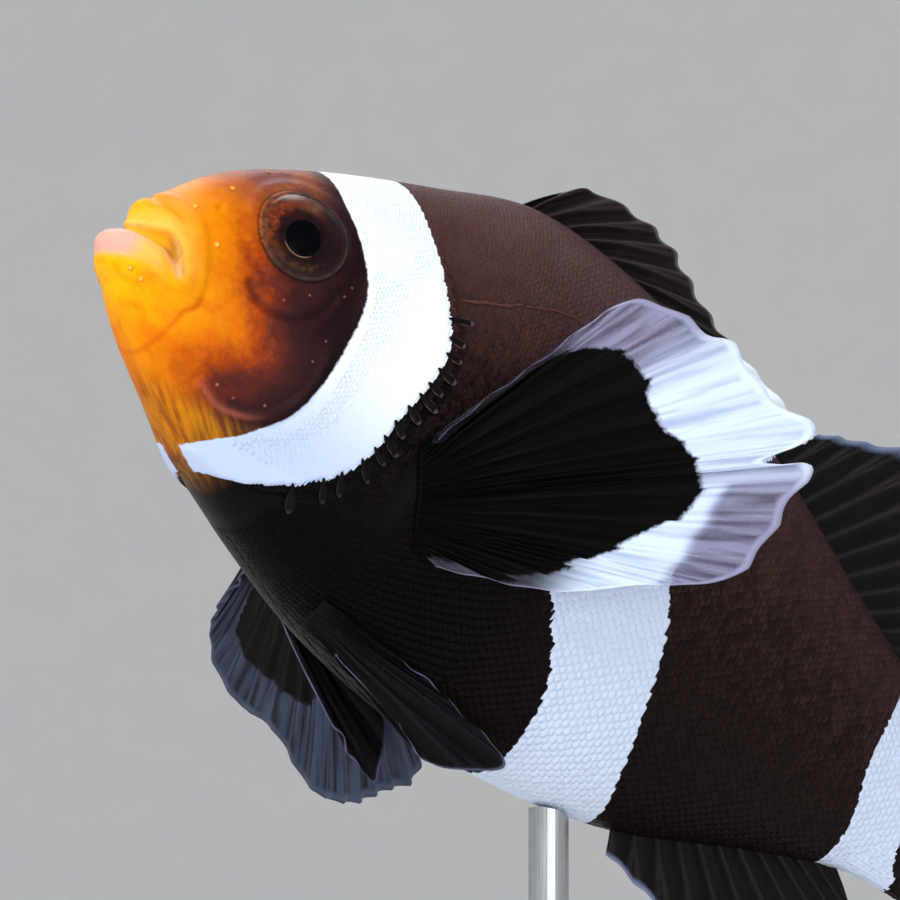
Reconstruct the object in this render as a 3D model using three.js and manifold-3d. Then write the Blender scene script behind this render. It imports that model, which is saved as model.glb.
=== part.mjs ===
// A black clownfish, life size, as a still museum model held up by a plain display stand.
// Millimetres, +Z up. The snout points along -X and the left side faces -Y.
// The origin is the centre of the underside of the stand's base.
//
// The fish is drawn straight and level first, in fractions of its standard length: x runs from
// the snout (0) to the root of the tail fin (1), y to its right and z up. place() then bends it
// along its length, lifts the head and sets it over the stand.

import * as THREE from 'three';
import { mergeVertices } from 'three/addons/utils/BufferGeometryUtils.js';
import Module from 'manifold-3d';

const wasm = await Module();
wasm.setup();

// ---- driving dimensions ----
const STANDARD_LENGTH = 68;        // snout to the root of the tail fin
const GAP = 0.3;                   // clearance between neighbouring pieces
const FIN_THICKNESS = 0.6;
const HEAD_UP = 29.5;              // pitch of the body, degrees
const HEAD_TURN = 10;              // yaw of the head to the left, degrees
const TAIL_TURN = 4;               // yaw of the tail to the right, degrees
const PIVOT = 0.45;                // place along the body that the stand is set out from
const PIVOT_HEIGHT = 58;           // height of the pivot over the floor
const BASE_LENGTH = 58;
const BASE_WIDTH = 40;
const BASE_HEIGHT = 5;
const BASE_CORNER = 9;
const BASE_BEVEL = 0.8;
const ROD_RADIUS = 1.1;
const ROD_FOOT = 3.0;              // radius of the collar round the rod's foot
const ROD_FOOT_HEIGHT = 2.2;
const ROD_STATION = 0.590;         // place along the belly where the rod arrives
const PIVOT_X = -1;                // the pivot stands this far from the base's centre

const RINGS = 34;                  // cross-sections along the body
const SIDES = 36;                  // facets round each cross-section

// The body's outline. Each row: distance from the snout, height of the back, height of the
// belly, half width, and height of the widest point.
const STATIONS = [
  [0.019, -0.010, -0.010, 0.000, -0.010],
  [0.024, 0.010, -0.034, 0.017, -0.014],
  [0.042, 0.038, -0.056, 0.033, -0.010],
  [0.075, 0.078, -0.081, 0.048, -0.002],
  [0.120, 0.112, -0.105, 0.062, 0.006],
  [0.175, 0.145, -0.131, 0.077, 0.010],
  [0.250, 0.185, -0.158, 0.093, 0.008],
  [0.340, 0.224, -0.184, 0.101, 0.002],
  [0.450, 0.224, -0.198, 0.098, 0.000],
  [0.560, 0.199, -0.192, 0.087, -0.002],
  [0.660, 0.160, -0.168, 0.071, -0.004],
  [0.760, 0.115, -0.124, 0.053, -0.004],
  [0.850, 0.082, -0.090, 0.037, -0.003],
  [0.930, 0.074, -0.080, 0.024, 0.000],
  [1.000, 0.078, -0.082, 0.012, 0.000],
];

// Where the body is parted into head, trunk and tail stalk. The gill covers' rear edge is an
// ellipse in the side view.
const GILL = { x: 0.131, z: 0.035, halfLength: 0.150, halfHeight: 0.170 };
const STALK_START = 0.800;

// The mouth, closed but for a thin line, from the middle of the lips back to its corner.
const MOUTH_FRONT = [0.006, -0.014];
const MOUTH_CORNER = [0.078, -0.030];
const JAW_BACK = [0.112, -0.135];
const LIP_RADIUS = 0.0095;
const LIP_HALF_SPAN = 0.044;             // the lips' rolls end this far to each side
const LIP_RISE = 0.018;                  // height of the upper roll over the mouth's line
const LIP_DROP = 0.011;                  // depth of the lower roll under it
const UPPER_LIP_FRONT = 0.031;           // middle of the roll of the upper lip
const LOWER_LIP_FRONT = 0.026;           // the lower lip reaches further forward

// The eyes: flattened balls set a little into the head.
const EYE = { x: 0.134, z: 0.0595, radius: 0.0420, depth: 0.026, inset: 0.011, forward: 18, up: 5 };

const COLOURS = {
  face: 0xd98a1e,
  body: 0x2b1f1c,
  fin: 0x17161a,
  eye: 0x4a3021,
  stand: 0x5b4033,
  rod: 0xb9bcc0,
};

const radians = (degrees) => degrees * Math.PI / 180;

const smooth = (t) => {
  const s = Math.min(1, Math.max(0, t));
  return s * s * (3 - 2 * s);
};

const finish = (colour, roughness, metalness = 0) =>
  new THREE.MeshStandardMaterial({ color: colour, roughness, metalness });

// ---- the bend along the body and its place over the stand ----
const yawAt = (x) =>
  radians(HEAD_TURN) * smooth((0.42 - x) / 0.26) + radians(TAIL_TURN) * smooth((x - 0.60) / 0.5);

// The bent midline, walked outwards from a fixed point in short steps.
function midline(x) {
  const steps = 24;
  const step = (x - PIVOT) / steps;
  let along = PIVOT;
  let across = 0;
  for (let i = 0; i < steps; i += 1) {
    const yaw = yawAt(PIVOT + (i + 0.5) * step);
    along += step * Math.cos(yaw);
    across += step * Math.sin(yaw);
  }
  return [along, across];
}

// From the straight fish, in fractions of its length, to the model in millimetres.
function place(x, y, z) {
  const [along, across] = midline(x);
  const yaw = yawAt(x);
  const bentX = (along - Math.sin(yaw) * y - PIVOT) * STANDARD_LENGTH;
  const bentY = (across + Math.cos(yaw) * y) * STANDARD_LENGTH;
  const up = z * STANDARD_LENGTH;
  const pitch = radians(HEAD_UP);
  return new THREE.Vector3(
    bentX * Math.cos(pitch) + up * Math.sin(pitch) + PIVOT_X,
    bentY,
    -bentX * Math.sin(pitch) + up * Math.cos(pitch) + PIVOT_HEIGHT,
  );
}

// ---- solids ----
// A closed geometry as a solid, with its faces turned outwards whichever way they were drawn.
function toManifold(geometry) {
  const bare = geometry.clone();
  bare.deleteAttribute('normal');
  bare.deleteAttribute('uv');
  const merged = mergeVertices(bare, 1e-7);
  const vertProperties = new Float32Array(merged.attributes.position.array);
  const triVerts = new Uint32Array(merged.index.array);
  const solid = new wasm.Manifold(new wasm.Mesh({ numProp: 3, vertProperties, triVerts }));
  if (solid.volume() > 0) return solid;
  for (let i = 0; i < triVerts.length; i += 3) {
    [triVerts[i + 1], triVerts[i + 2]] = [triVerts[i + 2], triVerts[i + 1]];
  }
  return new wasm.Manifold(new wasm.Mesh({ numProp: 3, vertProperties, triVerts }));
}

function toGeometry(solid) {
  const mesh = solid.getMesh();
  const geometry = new THREE.BufferGeometry();
  geometry.setAttribute('position', new THREE.BufferAttribute(new Float32Array(mesh.vertProperties), 3));
  geometry.setIndex(new THREE.BufferAttribute(new Uint32Array(mesh.triVerts), 1));
  return geometry;
}

// A closed skin over a grid of points: rows closed on themselves, with a fan at each end.
function tube(rows, firstTip, lastTip) {
  const around = rows[0].length;
  const points = [firstTip, ...rows.flat(), lastTip];
  const faces = [];
  const at = (row, side) => 1 + row * around + (side % around);
  for (let side = 0; side < around; side += 1) {
    faces.push(0, at(0, side + 1), at(0, side));
    faces.push(points.length - 1, at(rows.length - 1, side), at(rows.length - 1, side + 1));
  }
  for (let row = 0; row + 1 < rows.length; row += 1) {
    for (let side = 0; side < around; side += 1) {
      faces.push(at(row, side), at(row, side + 1), at(row + 1, side));
      faces.push(at(row, side + 1), at(row + 1, side + 1), at(row + 1, side));
    }
  }
  return indexed(points, faces);
}

function indexed(points, faces) {
  const geometry = new THREE.BufferGeometry();
  geometry.setAttribute('position', new THREE.Float32BufferAttribute(points.flat(), 3));
  geometry.setIndex(faces);
  return geometry;
}

// One row of the outline table at any distance along it, on a smooth curve through the rows.
function stationAt(t) {
  const last = STATIONS.length - 1;
  const i = Math.min(Math.floor(t), last - 1);
  const u = t - i;
  const before = i > 0 ? STATIONS[i - 1] : mirroredFirst();
  const after = i + 2 <= last ? STATIONS[i + 2] : STATIONS[last].map((v, k) => 2 * v - STATIONS[last - 1][k]);
  return STATIONS[i].map((p1, k) => {
    const p0 = before[k];
    const p2 = STATIONS[i + 1][k];
    const p3 = after[k];
    return 0.5 * (2 * p1 + (p2 - p0) * u + (2 * p0 - 5 * p1 + 4 * p2 - p3) * u * u
      + (3 * p1 - p0 - 3 * p2 + p3) * u * u * u);
  });
}

// The row before the snout is the first one turned over, so that the snout comes out blunt.
function mirroredFirst() {
  const [tip, next] = STATIONS;
  return [next[0], 2 * tip[1] - next[1], 2 * tip[2] - next[2], -next[3], next[4]];
}

// One cross-section of the body, swollen by an extra margin.
function crossSection(t, margin) {
  const [x, back, belly, breadth, widest] = stationAt(t);
  const ring = [];
  for (let side = 0; side < SIDES; side += 1) {
    const angle = 2 * Math.PI * side / SIDES;
    const c = Math.cos(angle);
    const s = Math.sin(angle);
    const above = c >= 0;
    const z = above
      ? widest + (back + margin - widest) * c
      : widest - (widest - belly + margin) * Math.pow(-c, 0.92);
    const y = (breadth + margin) * Math.sign(s) * Math.pow(Math.abs(s), above ? 1.15 : 1);
    ring.push([x, y, z]);
  }
  return ring;
}

function wholeBody(margin) {
  const rows = [];
  const last = STATIONS.length - 1;
  for (let ring = 1; ring <= RINGS; ring += 1) {
    rows.push(crossSection(last * Math.pow(ring / RINGS, 1.15), margin));
  }
  const tail = STATIONS[last];
  const snout = STATIONS[0];
  return toManifold(tube(rows, [snout[0] - margin, 0, snout[4]], [tail[0] + margin, 0, tail[4]]));
}

// A prism with the given outline in the side view, right through the fish.
function sidePrism(outline) {
  const shape = new THREE.Shape(outline.map(([x, z]) => new THREE.Vector2(x, z)));
  const geometry = new THREE.ExtrudeGeometry(shape, { depth: 1, bevelEnabled: false });
  geometry.translate(0, 0, -0.5);
  geometry.rotateX(Math.PI / 2);
  return toManifold(geometry);
}

function gillDrum(extra) {
  const drum = new THREE.CylinderGeometry(1, 1, 1, 60);
  drum.scale(GILL.halfLength + extra, 1, GILL.halfHeight + extra);
  drum.translate(GILL.x, 0, GILL.z);
  return toManifold(drum);
}

const margin = GAP / STANDARD_LENGTH;
const body = wholeBody(0);
const clearance = wholeBody(margin);

// ---- eyes ----
// The skin's half width at a point seen from the side.
function halfWidthAt(x, z) {
  const last = STATIONS.length - 1;
  let best = 0;
  for (let t = 0; t < last; t += 0.01) {
    if (Math.abs(stationAt(t)[0] - x) < Math.abs(stationAt(best)[0] - x)) best = t;
  }
  const [, back, belly, breadth, widest] = stationAt(best);
  if (z >= widest) {
    const c = Math.min(1, (z - widest) / (back - widest));
    return breadth * Math.pow(1 - c * c, 0.5 * 1.15);
  }
  const c = Math.pow(Math.min(1, (widest - z) / (widest - belly)), 1 / 0.92);
  return breadth * Math.sqrt(1 - c * c);
}

// side is -1 for the left eye and 1 for the right one.
function eyeball(side, extra) {
  const ball = new THREE.SphereGeometry(1, 20, 12);
  ball.rotateX(Math.PI / 2);
  ball.scale(EYE.radius + extra, EYE.radius + extra, EYE.depth + extra);
  const outward = new THREE.Vector3(
    -Math.sin(radians(EYE.forward)) * Math.cos(radians(EYE.up)),
    side * Math.cos(radians(EYE.forward)) * Math.cos(radians(EYE.up)),
    Math.sin(radians(EYE.up)),
  );
  const turn = new THREE.Quaternion().setFromUnitVectors(new THREE.Vector3(0, 0, 1), outward);
  ball.applyQuaternion(turn);
  const skin = halfWidthAt(EYE.x, EYE.z);
  ball.translate(
    EYE.x - outward.x * EYE.inset,
    side * skin - outward.y * EYE.inset,
    EYE.z - outward.z * EYE.inset,
  );
  return toManifold(ball);
}

// ---- lips ----
// A roll of flesh along the mouth's edge, from one corner round the front to the other.
function lip(front, corner) {
  const turns = 12;
  const path = [];
  for (let i = 0; i <= turns; i += 1) {
    const angle = Math.PI * (i / turns - 0.5);
    const back = 1 - Math.cos(angle);
    path.push(new THREE.Vector3(
      front[0] + (corner[0] - front[0]) * back,
      LIP_HALF_SPAN * Math.sign(angle) * Math.pow(Math.abs(Math.sin(angle)), 0.8),
      front[1] + (corner[1] - front[1]) * back,
    ));
  }
  const curve = new THREE.CatmullRomCurve3(path);
  const rows = [];
  const lengths = 16;
  for (let i = 0; i <= lengths; i += 1) {
    const centre = curve.getPoint(i / lengths);
    const ahead = curve.getTangent(i / lengths);
    const level = new THREE.Vector3(0, 0, 1).cross(ahead).normalize();
    const upright = new THREE.Vector3().crossVectors(ahead, level);
    const thick = LIP_RADIUS * (0.45 + 0.55 * Math.sin(Math.PI * i / lengths));
    const ring = [];
    for (let side = 0; side < 8; side += 1) {
      const angle = 2 * Math.PI * side / 8;
      const point = centre.clone()
        .addScaledVector(level, -thick * Math.cos(angle))
        .addScaledVector(upright, thick * Math.sin(angle));
      ring.push(point.toArray());
    }
    rows.push(ring);
  }
  const ends = [curve.getPoint(0).toArray(), curve.getPoint(1).toArray()];
  return toManifold(tube(rows, ends[0], ends[1]));
}

// ---- head, jaw, trunk and tail stalk ----
const eyes = { left: eyeball(-1, 0), right: eyeball(1, 0) };
const sockets = eyeball(-1, margin).add(eyeball(1, margin));

const upperLip = lip([UPPER_LIP_FRONT, MOUTH_FRONT[1] + LIP_RISE], MOUTH_CORNER);
const lowerLip = lip([LOWER_LIP_FRONT, MOUTH_FRONT[1] - LIP_DROP], MOUTH_CORNER);

function jawPrism(shrink) {
  const [frontX, frontZ] = MOUTH_FRONT;
  const [cornerX, cornerZ] = MOUTH_CORNER;
  return sidePrism([
    [frontX - 0.05, frontZ + 0.011 - shrink],
    [cornerX - shrink, cornerZ - shrink],
    [JAW_BACK[0] - shrink, JAW_BACK[1] - 0.02],
    [frontX - 0.05, JAW_BACK[1] - 0.02],
  ]);
}

const headFlesh = body.intersect(gillDrum(0));
const head = headFlesh.add(upperLip).subtract(jawPrism(0)).subtract(sockets);
const jaw = headFlesh.add(lowerLip).intersect(jawPrism(margin));

const stalkCut = sidePrism([
  [STALK_START, -0.4],
  [1.2, -0.4],
  [1.2, 0.4],
  [STALK_START, 0.4],
]);
const stalkStart = sidePrism([
  [STALK_START + margin, -0.4],
  [1.2, -0.4],
  [1.2, 0.4],
  [STALK_START + margin, 0.4],
]);
const trunk = body.subtract(gillDrum(margin)).subtract(stalkCut);
const stalk = body.intersect(stalkStart);

// ---- fins ----
// A fin is a thin plate on a fan of rays. rayRoot and rayTip give the ends of ray number i, and
// the web between two rays falls a little short of their tips. bulge cups the plate sideways.
function fin({ rays, rayRoot, rayTip, face, webDip = 0.04, bulge = 0, lengths = 3 }) {
  const half = 0.5 * FIN_THICKNESS / STANDARD_LENGTH;
  const normal = new THREE.Vector3(...face).normalize();
  const columns = 2 * (rays - 1) + 1;
  const sheets = [[], []];
  for (let column = 0; column < columns; column += 1) {
    const i = column / 2;
    const isWeb = column % 2 === 1;
    const root = new THREE.Vector3(...rayRoot(i / (rays - 1)));
    const tip = new THREE.Vector3(...rayTip(i / (rays - 1)));
    for (let step = 0; step <= lengths; step += 1) {
      const reach = (step / lengths) * (isWeb ? 1 - webDip * (step / lengths) : 1);
      const spot = root.clone().lerp(tip, reach);
      spot.addScaledVector(normal, bulge * Math.sin(Math.PI * Math.min(1, reach)));
      sheets[0].push(spot.clone().addScaledVector(normal, half).toArray());
      sheets[1].push(spot.clone().addScaledVector(normal, -half).toArray());
    }
  }
  const rows = lengths + 1;
  const count = columns * rows;
  const faces = [];
  const quad = (a, b, c, d) => faces.push(a, b, c, a, c, d);
  for (let column = 0; column + 1 < columns; column += 1) {
    for (let step = 0; step < lengths; step += 1) {
      const a = column * rows + step;
      quad(a, a + 1, a + rows + 1, a + rows);
      quad(count + a, count + a + rows, count + a + rows + 1, count + a + 1);
    }
    const root = column * rows;
    const tip = root + lengths;
    quad(root, root + rows, count + root + rows, count + root);
    quad(tip, count + tip, count + tip + rows, tip + rows);
  }
  for (let step = 0; step < lengths; step += 1) {
    const near = step;
    const far = (columns - 1) * rows + step;
    quad(near, count + near, count + near + 1, near + 1);
    quad(far, far + 1, count + far + 1, count + far);
  }
  return toManifold(indexed([...sheets[0], ...sheets[1]], faces));
}

const mix = (a, b, t) => a + (b - a) * t;

// Reads a smooth curve through a few [x, z] points at a share of its length.
function along(points) {
  const curve = new THREE.CatmullRomCurve3(points.map(([x, z]) => new THREE.Vector3(x, 0, z)));
  return (t) => curve.getPoint(t).toArray();
}

const dorsalSpiny = fin({
  rays: 11,
  rayRoot: (t) => [mix(0.325, 0.600, t), 0, mix(0.205, 0.165, t)],
  rayTip: along([[0.350, 0.245], [0.380, 0.270], [0.430, 0.277], [0.465, 0.271], [0.495, 0.255],
    [0.530, 0.237], [0.565, 0.227], [0.605, 0.218], [0.645, 0.208]]),
  face: [0, 1, 0],
});

const dorsalSoft = fin({
  rays: 15,
  rayRoot: (t) => [mix(0.612, 0.835, t), 0, mix(0.162, 0.075, t)],
  rayTip: along([[0.654, 0.212], [0.705, 0.236], [0.775, 0.262], [0.848, 0.266], [0.905, 0.236],
    [0.926, 0.186], [0.905, 0.135], [0.868, 0.098]]),
  face: [0, 1, 0],
});

const analFin = fin({
  rays: 13,
  rayRoot: (t) => [mix(0.640, 0.835, t), 0, mix(-0.155, -0.080, t)],
  rayTip: along([[0.654, -0.192], [0.712, -0.206], [0.790, -0.226], [0.866, -0.226], [0.918, -0.196],
    [0.930, -0.156], [0.906, -0.122], [0.868, -0.102]]),
  face: [0, 1, 0],
});

const tailFin = fin({
  rays: 17,
  rayRoot: (t) => [0.992, 0, mix(0.072, -0.076, t)],
  rayTip: along([[1.075, 0.116], [1.165, 0.142], [1.226, 0.122], [1.262, 0.068], [1.272, -0.002],
    [1.262, -0.072], [1.226, -0.126], [1.165, -0.146], [1.075, -0.120]]),
  face: [0, 1, 0],
  lengths: 4,
});

// A paired fin lies on its own plane: ahead points out along its middle ray, upward across it.
// Its root runs rootHalf to each side of rootMiddle. edge(t) is its margin on that plane, from the
// leading ray round to the last.
function pairedFin({ root, ahead, upward, rootHalf, rootMiddle = 0, edge, rays, bulge = 0 }) {
  const e1 = new THREE.Vector3(...ahead).normalize();
  const e2 = new THREE.Vector3(...upward);
  e2.addScaledVector(e1, -e2.dot(e1)).normalize();
  const point = ([a, b]) => new THREE.Vector3(...root)
    .addScaledVector(e1, a).addScaledVector(e2, b).toArray();
  return fin({
    rays,
    rayRoot: (t) => point([0, rootMiddle + mix(rootHalf, -rootHalf, t)]),
    rayTip: (t) => point(edge(t)),
    face: new THREE.Vector3().crossVectors(e1, e2).toArray(),
    bulge,
  });
}

// A margin that is part of an ellipse, swept from one angle to another.
const oval = (centre, half, from, to) => (t) => {
  const angle = radians(mix(from, to, t));
  return [centre[0] + half[0] * Math.cos(angle), centre[1] + half[1] * Math.sin(angle)];
};

// A margin drawn through a few points on the fin's plane.
const drawn = (points) => {
  const curve = along(points);
  return (t) => {
    const [a, , b] = curve(t);
    return [a, b];
  };
};

// The left pectoral fin is held back and up, the right one swings out and down.
const pectoralLeft = pairedFin({
  root: [0.322, -0.102, -0.063],
  ahead: [0.766, -0.360, 0.533],
  upward: [-0.550, 0.064, 0.833],
  rootHalf: 0.042,
  edge: oval([0.170, 0.018], [0.150, 0.118], 96, -130),
  rays: 16,
  bulge: -0.006,
});

const pectoralRight = pairedFin({
  root: [0.322, 0.102, -0.063],
  ahead: [0.598, 0.685, -0.417],
  upward: [-0.540, 0.728, 0.422],
  rootHalf: 0.042,
  edge: drawn([[0.010, 0.030], [0.125, 0.055], [0.180, 0.090], [0.230, 0.112], [0.285, 0.105],
    [0.290, 0.075], [0.280, 0.020], [0.297, -0.035], [0.265, -0.090], [0.205, -0.140],
    [0.130, -0.175], [-0.010, -0.060]]),
  rays: 16,
  bulge: 0.006,
});

// The pelvic fins are pointed, with the longest rays in front.
const pelvicLeft = pairedFin({
  root: [0.320, -0.036, -0.180],
  ahead: [0.962, -0.120, -0.115],
  upward: [-0.100, 0.500, -0.860],
  rootHalf: 0.012,
  rootMiddle: -0.004,
  edge: drawn([[0.100, 0.020], [0.135, 0.031], [0.160, 0.027], [0.193, 0.000], [0.185, -0.010],
    [0.150, -0.018], [0.110, -0.024], [0.060, -0.026]]),
  rays: 7,
});

const pelvicRight = pairedFin({
  root: [0.324, 0.036, -0.180],
  ahead: [0.890, 0.300, -0.215],
  upward: [-0.100, 0.200, -0.970],
  rootHalf: 0.012,
  rootMiddle: -0.022,
  edge: drawn([[0.105, 0.005], [0.145, 0.006], [0.178, 0.004], [0.166, -0.008], [0.150, -0.027],
    [0.130, -0.035], [0.095, -0.042], [0.055, -0.042]]),
  rays: 7,
});

// ---- the stand ----
function roundedPlate() {
  const x = BASE_LENGTH / 2 - BASE_BEVEL;
  const y = BASE_WIDTH / 2 - BASE_BEVEL;
  const corner = BASE_CORNER - BASE_BEVEL;
  const shape = new THREE.Shape();
  shape.absarc(x - corner, y - corner, corner, 0, Math.PI / 2);
  shape.absarc(corner - x, y - corner, corner, Math.PI / 2, Math.PI);
  shape.absarc(corner - x, corner - y, corner, Math.PI, 1.5 * Math.PI);
  shape.absarc(x - corner, corner - y, corner, 1.5 * Math.PI, 2 * Math.PI);
  const plate = new THREE.ExtrudeGeometry(shape, {
    depth: BASE_HEIGHT - 2 * BASE_BEVEL,
    bevelThickness: BASE_BEVEL,
    bevelSize: BASE_BEVEL,
    bevelSegments: 1,
    curveSegments: 6,
  });
  plate.translate(0, 0, BASE_BEVEL);
  return plate;
}

// The rod stands straight up from the base and ends just under the belly, cut to its shape.
function standRod(top, flesh) {
  const foot = BASE_HEIGHT + GAP;
  const profile = [
    [0, foot],
    [ROD_FOOT, foot],
    [ROD_FOOT, foot + ROD_FOOT_HEIGHT * 0.6],
    [ROD_RADIUS, foot + ROD_FOOT_HEIGHT],
    [ROD_RADIUS, top.z + 4],
    [0, top.z + 4],
  ].map(([r, z]) => new THREE.Vector2(r, z));
  const rod = new THREE.LatheGeometry(profile, 32);
  rod.rotateX(Math.PI / 2);
  rod.translate(top.x, top.y, 0);
  return toManifold(rod).subtract(flesh);
}

// ---- the model ----
// Bends and places a solid drawn on the straight fish.
function placed(solid) {
  const geometry = toGeometry(solid);
  const position = geometry.attributes.position;
  for (let i = 0; i < position.count; i += 1) {
    const spot = place(position.getX(i), position.getY(i), position.getZ(i));
    position.setXYZ(i, spot.x, spot.y, spot.z);
  }
  return geometry;
}

const model = new THREE.Group();

function put(name, geometry, material) {
  const mesh = new THREE.Mesh(geometry, material);
  mesh.name = name;
  model.add(mesh);
}

const faceFinish = finish(COLOURS.face, 0.45);
const bodyFinish = finish(COLOURS.body, 0.5);
const finFinish = finish(COLOURS.fin, 0.45);
const eyeFinish = finish(COLOURS.eye, 0.1);

put('head', placed(head), faceFinish);
put('jaw_lower', placed(jaw), faceFinish);
put('trunk', placed(trunk), bodyFinish);
put('tail_stalk', placed(stalk), bodyFinish);
put('eye_left', placed(eyes.left), eyeFinish);
put('eye_right', placed(eyes.right), eyeFinish);

const fins = {
  dorsal_fin_spiny: dorsalSpiny,
  dorsal_fin_soft: dorsalSoft,
  anal_fin: analFin,
  tail_fin: tailFin,
  pectoral_fin_left: pectoralLeft,
  pectoral_fin_right: pectoralRight,
  pelvic_fin_left: pelvicLeft,
  pelvic_fin_right: pelvicRight,
};
for (const [name, solid] of Object.entries(fins)) {
  put(name, placed(solid.subtract(clearance)), finFinish);
}

const bellyHeight = stationAtDistance(ROD_STATION)[2];
const rodTop = place(ROD_STATION, 0, bellyHeight);
put('stand_base', roundedPlate(), finish(COLOURS.stand, 0.6));
put('stand_rod', toGeometry(standRod(rodTop, toManifold(placed(clearance)))), finish(COLOURS.rod, 0.3, 1));

// The outline table's row at a distance from the snout.
function stationAtDistance(x) {
  let t = 0;
  while (stationAt(t)[0] < x) t += 0.01;
  return stationAt(t);
}

export default model;
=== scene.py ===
import math

import bmesh
import bpy
import numpy as np
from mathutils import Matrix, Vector


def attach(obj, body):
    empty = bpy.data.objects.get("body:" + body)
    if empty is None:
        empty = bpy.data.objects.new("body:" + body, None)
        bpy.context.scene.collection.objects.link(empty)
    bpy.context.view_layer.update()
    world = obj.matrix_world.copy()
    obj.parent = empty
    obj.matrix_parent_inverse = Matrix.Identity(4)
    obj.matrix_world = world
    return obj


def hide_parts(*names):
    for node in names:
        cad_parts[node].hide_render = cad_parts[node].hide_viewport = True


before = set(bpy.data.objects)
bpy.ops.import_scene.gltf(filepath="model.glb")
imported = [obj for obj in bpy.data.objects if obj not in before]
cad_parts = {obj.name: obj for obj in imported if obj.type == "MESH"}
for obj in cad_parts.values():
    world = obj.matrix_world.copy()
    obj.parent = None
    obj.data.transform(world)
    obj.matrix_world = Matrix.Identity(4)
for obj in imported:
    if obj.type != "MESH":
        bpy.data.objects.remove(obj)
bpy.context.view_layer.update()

# ---------------------------------------------------------------- sizes and place
# The fish is shaped straight: x runs from the snout to the tail root, y to its right, z up,
# all in standard lengths. It is then bent sideways, pitched and lifted onto its stand.
LENGTH = 0.068
BEND_STATION = 0.45
PITCH = math.radians(29.5)
PIVOT_AHEAD = -0.001
PIVOT_HEIGHT = 0.058
BEND_STEPS = 24

# station, back, belly, half breadth, height of the widest point
STATIONS = np.array([
    [0.019, -0.010, -0.010, 0.000, -0.010],
    [0.024, 0.010, -0.034, 0.017, -0.014],
    [0.042, 0.038, -0.056, 0.033, -0.010],
    [0.075, 0.078, -0.081, 0.048, -0.002],
    [0.120, 0.112, -0.105, 0.062, 0.006],
    [0.175, 0.145, -0.131, 0.077, 0.010],
    [0.250, 0.185, -0.158, 0.093, 0.008],
    [0.340, 0.224, -0.184, 0.101, 0.002],
    [0.450, 0.224, -0.198, 0.098, 0.000],
    [0.560, 0.199, -0.192, 0.087, -0.002],
    [0.660, 0.160, -0.168, 0.071, -0.004],
    [0.760, 0.115, -0.124, 0.053, -0.004],
    [0.850, 0.082, -0.090, 0.037, -0.003],
    [0.930, 0.074, -0.080, 0.024, 0.000],
    [1.000, 0.078, -0.082, 0.012, 0.000],
])
LAST = len(STATIONS) - 1

EYE = {"x": 0.134, "z": 0.0595, "radius": 0.0420, "depth": 0.026, "inset": 0.011}
EYE_FORWARD = math.radians(18.0)
EYE_UP = math.radians(5.0)

SIDES = ((-1, "left"), (1, "right"))
rng = np.random.default_rng(7)


def smooth(t):
    t = np.clip(t, 0.0, 1.0)
    return t * t * (3.0 - 2.0 * t)


def step(value, low, high):
    """0 below low, 1 above high, eased between."""
    return smooth((np.asarray(value, float) - low) / (high - low))


def bell(distance, width):
    """1 at no distance, falling away over width."""
    return np.exp(-(distance / width) ** 2)


def unit(vectors):
    return vectors / np.maximum(np.linalg.norm(vectors, axis=-1, keepdims=True), 1e-12)


def walked(line):
    """How far along a line each of its points lies."""
    return np.concatenate([[0], np.cumsum(np.linalg.norm(np.diff(line, axis=0), axis=1))])


def spline(rows, t):
    """An eased line through rows at counts t. Its first and last rows only steer its ends."""
    i = np.minimum(t.astype(int), len(rows) - 4)
    u = (t - i)[..., None]
    p0, p1, p2, p3 = rows[i], rows[i + 1], rows[i + 2], rows[i + 3]
    return 0.5 * (2 * p1 + (p2 - p0) * u + (2 * p0 - 5 * p1 + 4 * p2 - p3) * u * u
                  + (3 * p1 - p0 - 3 * p2 + p3) * u ** 3)


def yaw(x):
    return math.radians(10) * smooth((0.42 - x) / 0.26) + math.radians(4) * smooth((x - 0.60) / 0.5)


def bend(points):
    """Straight places in standard lengths to places on the finished model in metres."""
    points = np.asarray(points, float)
    x, y, z = points[..., 0], points[..., 1], points[..., 2]
    stride = (x - BEND_STATION) / BEND_STEPS
    along = np.full(x.shape, BEND_STATION)
    across = np.zeros(x.shape)
    for i in range(BEND_STEPS):
        turn = yaw(BEND_STATION + stride * (i + 0.5))
        along = along + stride * np.cos(turn)
        across = across + stride * np.sin(turn)
    turn = yaw(x)
    bx = (along - np.sin(turn) * y - BEND_STATION) * LENGTH
    by = (across + np.cos(turn) * y) * LENGTH
    up = z * LENGTH
    return np.stack([
        bx * math.cos(PITCH) + up * math.sin(PITCH) + PIVOT_AHEAD,
        by,
        -bx * math.sin(PITCH) + up * math.cos(PITCH) + PIVOT_HEIGHT,
    ], -1)


# ---------------------------------------------------------------- the body's loft
def station_rows(s):
    """Rows of the loft at station counts s, eased from one named station to the next."""
    first = STATIONS[1].copy()
    first[1] = 2 * STATIONS[0][1] - STATIONS[1][1]
    first[2] = 2 * STATIONS[0][2] - STATIONS[1][2]
    first[3] = -STATIONS[1][3]
    last = 2 * STATIONS[-1] - STATIONS[-2]
    rows = np.vstack([first, STATIONS, last])
    return spline(rows, np.clip(np.asarray(s, float), 0.0, LAST))


def loft(s, angle):
    """A point of the body: angle 0 is the back, a right angle the right side."""
    rows = station_rows(s)
    x, back, belly, breadth, widest = [rows[..., k] for k in range(5)]
    c, sn = np.cos(angle), np.sin(angle)
    rise = np.abs(c)
    z = np.where(c >= 0, widest + (back - widest) * rise, widest - (widest - belly) * rise ** 0.92)
    y = breadth * np.sign(sn) * np.abs(sn) ** np.where(c >= 0, 1.15, 1.0)
    return np.stack([x + 0 * z, y, z], -1)


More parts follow.
